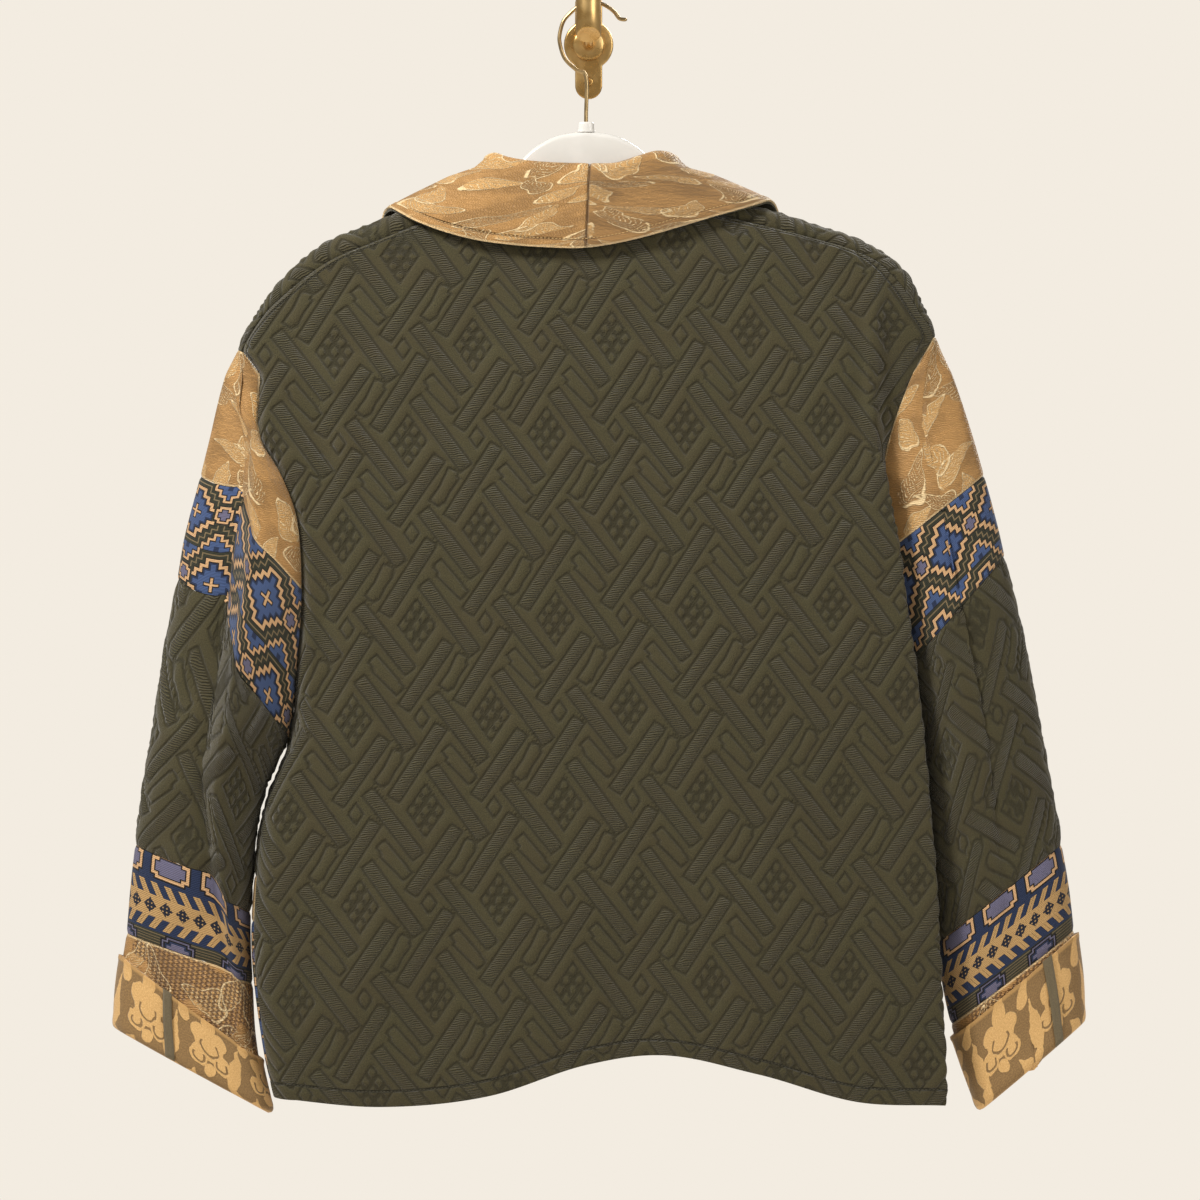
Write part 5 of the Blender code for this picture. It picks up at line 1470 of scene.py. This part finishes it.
def make_cuff(side, looks):
    facing = -1 if side == "left" else 1
    wide = cuff_grid(side)
    whole = np.concatenate([wide, wide[:, :1]], axis=1)
    grid = refine(wide, fine_counts(wide, 0), fine_counts(whole, 1), True)
    normal = unit(grid_normals(grid, True)) * facing
    u, v = cloth_places(grid)
    v = v - (v.min() + v.max()) / 2
    edge = edges(grid, True)
    near = nearest_edge(edge)
    roll = 0.9 * np.exp(-(((edge["stop"] - 1.6) / 2.0) ** 2))
    dent = creases(grid, normal, CUFF_CREASES[side]) - grid
    grid = grid + dent * step_up(0.0, 10.0, edge["start"])[..., None]
    name = f"cuff_{side}"
    piece = shell(name + "_cloth", grid, normal, True, facing, looks["damask"], roll, (u, v),
                  {"edge": near})
    return {"shown": grid, "edge": edge, "normal": normal, "relief": roll, "wide": wide, "piece": piece}


def make_strap(side, cuff, looks):
    facing = -1 if side == "left" else 1
    wide = strap_grid(side, cuff["wide"])
    grid = refine(wide, fine_counts(wide, 0), [5] * (wide.shape[1] - 1), False)
    normal = unit(grid_normals(grid, False)) * facing
    u, v = cloth_places(grid)
    edge = edges(grid, False)
    near = nearest_edge(edge)
    relief = -0.5 * np.exp(-near / 0.9) + 0.25 * np.exp(-(((near - 2.2) / 0.8) ** 2))
    name = f"strap_{side}"
    piece = shell(name + "_cloth", grid, normal, False, facing, looks["khaki"], relief, (u, v),
                  {"edge": near}, thick=STRAP_THICK, out=LAYER_GAP + STRAP_THICK, coarse=3)
    stand_for(piece, name, "khaki")
    declare(cuff["piece"], f"cuff_{side}", cuff["shown"], "damask", True)


def make_collar(looks):
    wide = collar_grid()
    middle = wide.shape[1] // 2
    across = fine_counts(wide, 1)
    grid = refine(wide, COLLAR_FINE, across, False)
    centre = sum(across[:middle])
    normal = unit(grid_normals(grid, False))
    shown = {}
    for side, columns in (("left", slice(0, centre + 1)), ("right", slice(centre, None))):
        part, n = grid[:, columns], -normal[:, columns]
        edge = edges(part, False)
        near = nearest_edge(edge)
        u, v = cloth_places(part)
        band = 0.35 * step_up(COLLAR_STITCH + 1.5, COLLAR_STITCH - 1.5, edge["stop"])
        sunk = -SEAM_SINK * np.exp(-near / 1.3)
        relief = sunk - 0.8 * np.exp(-(((edge["stop"] - COLLAR_STITCH) / 1.3) ** 2)) + band
        name = f"collar_{side}"
        join = edge["right" if side == "left" else "left"]
        line = np.minimum(np.abs(edge["stop"] - COLLAR_STITCH), join)
        values = {"edge": edge["stop"], "stitch": line}
        piece = shell(name + "_cloth", part, n, False, -1, looks["gold"], relief, (u, v), values,
                      out=SEAM_GAP / 2 + CLOTH, coarse=3)
        declare(piece, name, part, "gold", False)
        outer = part + n * (SEAM_GAP / 2 + CLOTH)
        shown[side] = {"shown": outer, "edge": edge, "normal": n, "relief": relief}
    u, v = cloth_places(grid)
    near = nearest_edge(edges(grid, False))
    plain = {"edge": near, "quilt": 0 * near + 20.0, "ribs": 0 * near, "stitch": 0 * near + NO_STITCH}
    piece = shell("under_collar_cloth", grid, normal, False, 1, looks["olive"], 0 * near, (u, v),
                  plain, thick=THIN_CLOTH, out=SEAM_GAP / 2 + THIN_CLOTH, coarse=3)
    declare(piece, "under_collar", grid, "olive", False)
    return shown


def make_loft(name, rings, look, node, slot):
    """A solid through rings of the same number of points, with flat ends."""
    rings = np.asarray(rings)
    count = rings.shape[1]
    index = np.arange(rings.shape[0] * count).reshape(rings.shape[:2])
    faces = grid_faces(index, True)
    faces += [tuple(index[0][::-1]), tuple(index[-1])]
    vertices = rings.reshape(-1, 3)
    volume = sum(
        np.dot(vertices[f[0]], np.cross(vertices[f[i]], vertices[f[i + 1]]))
        for f in faces for i in range(1, len(f) - 1)
    )
    if volume < 0:
        faces = flipped(faces)
    piece = new_mesh(name, vertices, faces, look, sharp=38)
    stand_for(piece, node, slot)


def tube_rings(path, radius, sides=20):
    """Rings round a path that lies in one plane or nearly so."""
    path = np.asarray(path, float)
    along = unit(np.gradient(path, axis=0))
    side = unit(np.cross(along, [0.3, 1.0, 0.2]))
    other = np.cross(along, side)
    turn = circle(sides)[None, :, None]
    size = np.broadcast_to(radius, len(path))[:, None, None]
    return path[:, None] + (side[:, None] * np.cos(turn) + other[:, None] * np.sin(turn)) * size


def crest_z(x):
    """Height of the cloth's shoulder line over a place on the hanger."""
    side = "left" if x < 0 else "right"
    rows = np.linspace(12, 17, 60)
    along, high = column(CREST, side + " x", rows), column(CREST, side + " z", rows)
    order = np.argsort(along)
    return float(np.interp(x, along[order], high[order]))


def make_hanger(looks):
    rings = []
    for x in np.linspace(HANGER_END_LEFT, HANGER_END_RIGHT, 141):
        reach = abs(x)
        if reach < HANGER_DOME["x"][-1]:
            top = float(curve(HANGER_DOME["x"], HANGER_DOME["z"], reach))
        else:
            slope = (crest_z(x + 4) - crest_z(x - 4)) / 8
            top = crest_z(x) - (CLOTH + HANGER_GAP) * math.hypot(1, slope)
        high = float(np.interp(reach, HANGER_HEIGHT["x"], HANGER_HEIGHT["high"]))
        end = min(1.0, (HANGER_END_RIGHT - reach) / 5.0 + 0.35)
        half = HANGER_THICK / 2 * min(1.0, end) ** 0.5
        angles = np.radians(np.linspace(0, 180, 10))
        upper = [(half * math.cos(a), top - half + half * math.sin(a)) for a in angles]
        lower = [(-half * math.cos(a), top - high + half - half * math.sin(a)) for a in angles]
        rings.append([(x, HANG_Y + y, z) for y, z in upper + lower])
    make_loft("hanger_plastic", rings, looks["plastic"], "hanger", "plastic")
    boss_top, boss_low = HANGER_DOME["z"][0] + 7.0, HANGER_DOME["z"][0] - 1.0
    turn = circle(32)
    profile = ((7.4, boss_low), (6.8, boss_low + 1.6), (6.4, boss_low + 3.0), (6.4, boss_top - 1.6),
               (6.1, boss_top - 0.8), (5.2, boss_top), (2.4, boss_top), (2.2, boss_top - 0.8))
    rings = [points(r * np.cos(turn), HANG_Y + r * np.sin(turn) * 0.55, z) for r, z in profile]
    make_loft("hanger_boss_plastic", rings, looks["plastic"], "hanger_boss", "plastic")
    steps = np.linspace(0, len(HOOK_WIRE["x"]) - 1, 150)
    x, z = (curve(range(len(HOOK_WIRE[k])), HOOK_WIRE[k], steps) for k in "xz")
    z[0] = boss_top - 0.6
    radius = np.full(len(x), WIRE_RADIUS)
    radius[-4:] = WIRE_RADIUS * np.array([0.97, 0.87, 0.68, 0.35])
    make_loft("hanger_wire_metal", tube_rings(points(x, HANG_Y, z), radius, 16), looks["wire"],
              "hanger_wire", "brass")


def disc(radius_x, radius_z, y, z=0.0, count=64):
    turn = circle(count)
    return points(-HANG_X + radius_x * np.cos(turn), y, z + radius_z * np.sin(turn))


def capsule_reach(angle):
    """Distance from the plate's centre to its outline: a disc with a lobe above and below."""
    sine, cosine = abs(math.sin(angle)), abs(math.cos(angle))
    reach = PLATE_RADIUS
    if sine > 0 and LOBE_RADIUS / sine * cosine < LOBE_REACH:
        return max(reach, LOBE_RADIUS / sine)
    root = LOBE_RADIUS ** 2 - (LOBE_REACH * sine) ** 2
    return max(reach, LOBE_REACH * cosine + math.sqrt(max(root, 0.0)))


def make_screw(name, z, front, look, node):
    """A screw head, domed, with a cross cut into it."""
    rings = []
    for share in np.linspace(1.0, 0.04, 12):
        radius = SCREW_RADIUS * share
        turn = circle(48)
        x, high = radius * np.cos(turn), radius * np.sin(turn)
        deep = np.minimum(np.abs(x), np.abs(high))
        cross = 0.9 * step_up(0.75, 0.4, deep) * (1.0 if share < 0.66 else 0.0)
        dome = SCREW_HIGH * math.sqrt(max(0.0, 1 - (share * 0.97) ** 2))
        rings.append(points(-HANG_X + x, front - dome + cross, z + high))
    make_loft(name, rings, look, node, "brass")


def make_wall_hook(looks):
    brass = looks["brass"]
    turn = circle(144)
    reach = np.array([capsule_reach(a) for a in turn])
    profile = ((0, 0), (0, 1.4 - PLATE_THICK), (0.35, 0.6 - PLATE_THICK), (0.9, 0.15 - PLATE_THICK),
               (1.6, -PLATE_THICK), (6.0, -PLATE_THICK))
    rings = [
        points(-HANG_X + (reach - rim) * np.sin(turn), y, (reach - rim) * np.cos(turn))
        for rim, y in profile
    ]
    make_loft("wall_plate_brass", rings, brass, "wall_plate", "brass")
    front = -PLATE_THICK - SEAM_GAP
    profile = ((BOSS_RADIUS, front + 0.2), (BOSS_RADIUS, front - BOSS_DEEP + 1.6),
               (BOSS_RADIUS - 0.5, front - BOSS_DEEP + 0.6), (BOSS_RADIUS - 1.6, front - BOSS_DEEP),
               (ARM_RADIUS + 1.6, front - BOSS_DEEP - 0.2))
    make_loft("hook_boss_brass", [disc(r, r, y) for r, y in profile], brass, "hook_boss", "brass")
    make_screw("plate_screw_top_brass", SCREW_Z, front + 0.1, brass, "plate_screw_top")
    make_screw("plate_screw_bottom_brass", -SCREW_Z, front + 0.1, brass, "plate_screw_bottom")
    steps = np.linspace(0, len(ARM["y"]) - 1, 70)
    y, z = (curve(range(len(ARM[k])), ARM[k], steps) for k in "yz")
    z[:6], z[-6:] = z[0], z[-1]
    y[0] = front - BOSS_DEEP - SEAM_GAP
    y[-1] = TUBE_Y + TUBE_RADIUS + SEAM_GAP
    radius = ARM_RADIUS * (1 + 0.25 * np.exp(-(y[0] - y) / 3.0))
    radius = np.minimum(radius, ARM_RADIUS * 1.2)
    rings = tube_rings(points(-HANG_X, y, z), radius, 24)
    make_loft("hook_arm_brass", rings, brass, "hook_arm", "brass")
    turn = circle(64)
    rings = []
    # how far inside the tube's radius, height, slope of its cut
    profile = ((3.0, 3.2, 0.56), (0.7, 2.6, 0.56), (0, 3.6, 0.56), (0, 20.0, 0.2),
               (0, TUBE_TOP - 3.0, 0), (0.3, TUBE_TOP - 1.6, 0), (1.0, TUBE_TOP - 0.5, 0),
               (2.2, TUBE_TOP, 0))
    for inside, z, slope in profile:
        radius = TUBE_RADIUS - inside
        rings.append(points(-HANG_X + radius * np.cos(turn), TUBE_Y + radius * np.sin(turn),
                            z - slope * radius * np.sin(turn)))
    make_loft("hook_tube_brass", rings, brass, "hook_tube", "brass")


def add_light(name, place, aim, power, size, tint):
    light = bpy.data.lights.new(name, "AREA")
    light.shape, light.energy, light.size, light.color = "DISK", power, size, tint
    thing = new_object(name, light)
    thing.location = place
    turn = np.array(aim) - np.array(place)
    thing.rotation_euler = mathutils.Vector(turn).to_track_quat("-Z", "Y").to_euler()


def make_studio():
    floor = bpy.data.meshes.new("studio_floor")
    signs = ((-1, -1), (1, -1), (1, 1), (-1, 1))
    corners = [(x * FLOOR_HALF, y * FLOOR_HALF, FLOOR_Z) for x, y in signs]
    floor.from_pydata(corners, [], [(0, 1, 2, 3)])
    thing = new_object("studio_floor", floor)
    plain = bpy.data.materials.new("studio_floor_paint")
    plain.use_nodes = True
    shader = plain.node_tree.nodes["Principled BSDF"]
    shader.inputs["Base Color"].default_value = (*BACKDROP, 1.0)
    shader.inputs["Roughness"].default_value = 0.9
    floor.materials.append(plain)
    world = bpy.data.worlds.new("studio_air")
    bpy.context.scene.world = world
    world.use_nodes = True
    tree = world.node_tree
    air = tree.nodes["Background"]
    air.inputs["Color"].default_value = (*BACKDROP, 1.0)
    seen, path = tree.nodes.new("ShaderNodeMapRange"), tree.nodes.new("ShaderNodeLightPath")
    seen.inputs["To Min"].default_value = AIR_STRENGTH
    seen.inputs["To Max"].default_value = 1.0
    tree.links.new(path.outputs["Is Camera Ray"], seen.inputs["Value"])
    tree.links.new(seen.outputs["Result"], air.inputs["Strength"])
    bpy.context.scene.view_settings.view_transform = "Standard"
    for row in LIGHTS:
        add_light(*row)
    camera = bpy.data.cameras.new("photo_camera")
    camera.sensor_width = 36.0
    camera.lens = 18.0 / (FRAME_WIDE / 2 / CAMERA_FAR)
    camera.clip_start, camera.clip_end = 0.05, 50.0
    eye = new_object("photo_camera", camera)
    eye.location = (CAMERA_X, CLOTH_PLANE - CAMERA_FAR, CAMERA_Z)
    eye.rotation_euler = (math.pi / 2, 0, 0)
    bpy.context.scene.camera = eye


def make_looks():
    return {
        "olive": olive_look(),
        "gold": gold_look("gold_brocade", CREAM),
        "gold_end": gold_look("gold_scroll", CREAM, True),
        "kilim": kilim_look(),
        "border": border_look(),
        "damask": damask_look(),
        "khaki": khaki_look(),
        "plastic": solid_look("hanger_white", (0.70, 0.69, 0.665), (0.76, 0.75, 0.73), 0.22, 30.0,
                              0.00008, Coat_Weight=0.4, Coat_Roughness=0.1),
        "brass": solid_look("satin_brass", (0.62, 0.38, 0.13), (0.80, 0.55, 0.24), 0.3, 60.0,
                            0.00005, Metallic=1.0),
        "wire": solid_look("brass_wire", (0.42, 0.30, 0.15), (0.68, 0.50, 0.26), 0.34, 80.0,
                           0.00005, Metallic=1.0),
        "olive_thread": thread_look("olive_thread", (0.03, 0.028, 0.016), (0.10, 0.09, 0.05)),
        "gold_thread": thread_look("gold_thread", (0.50, 0.33, 0.13), (0.72, 0.52, 0.26)),
    }


def build():
    looks = make_looks()
    grids = body_grids()
    shared_normals(grids)
    made = {}
    for one in grids:
        dress(one, looks)
        made[one["name"]] = one
    collar = make_collar(looks)
    olive_lines, gold_lines = [], []
    for side in ("left", "right"):
        cuff = make_cuff(side, looks)
        make_strap(side, cuff, looks)
        gold_lines.append(inset(collar[side], "stop", COLLAR_STITCH))
        olive_lines.append(inset(made["back"], side, SHOULDER_STITCH, SHOULDER_SEAM_START))
    olive_lines.append(inset(made["back"], "start", HEM_STITCH))
    sew("olive_stitching", olive_lines, looks["olive_thread"])
    sew("gold_stitching", gold_lines, looks["gold_thread"])
    make_hanger(looks)
    make_wall_hook(looks)


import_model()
for thing in list(bpy.data.objects):
    if thing.type in ("CAMERA", "LIGHT"):
        bpy.data.objects.remove(thing, do_unlink=True)
build()
make_studio()
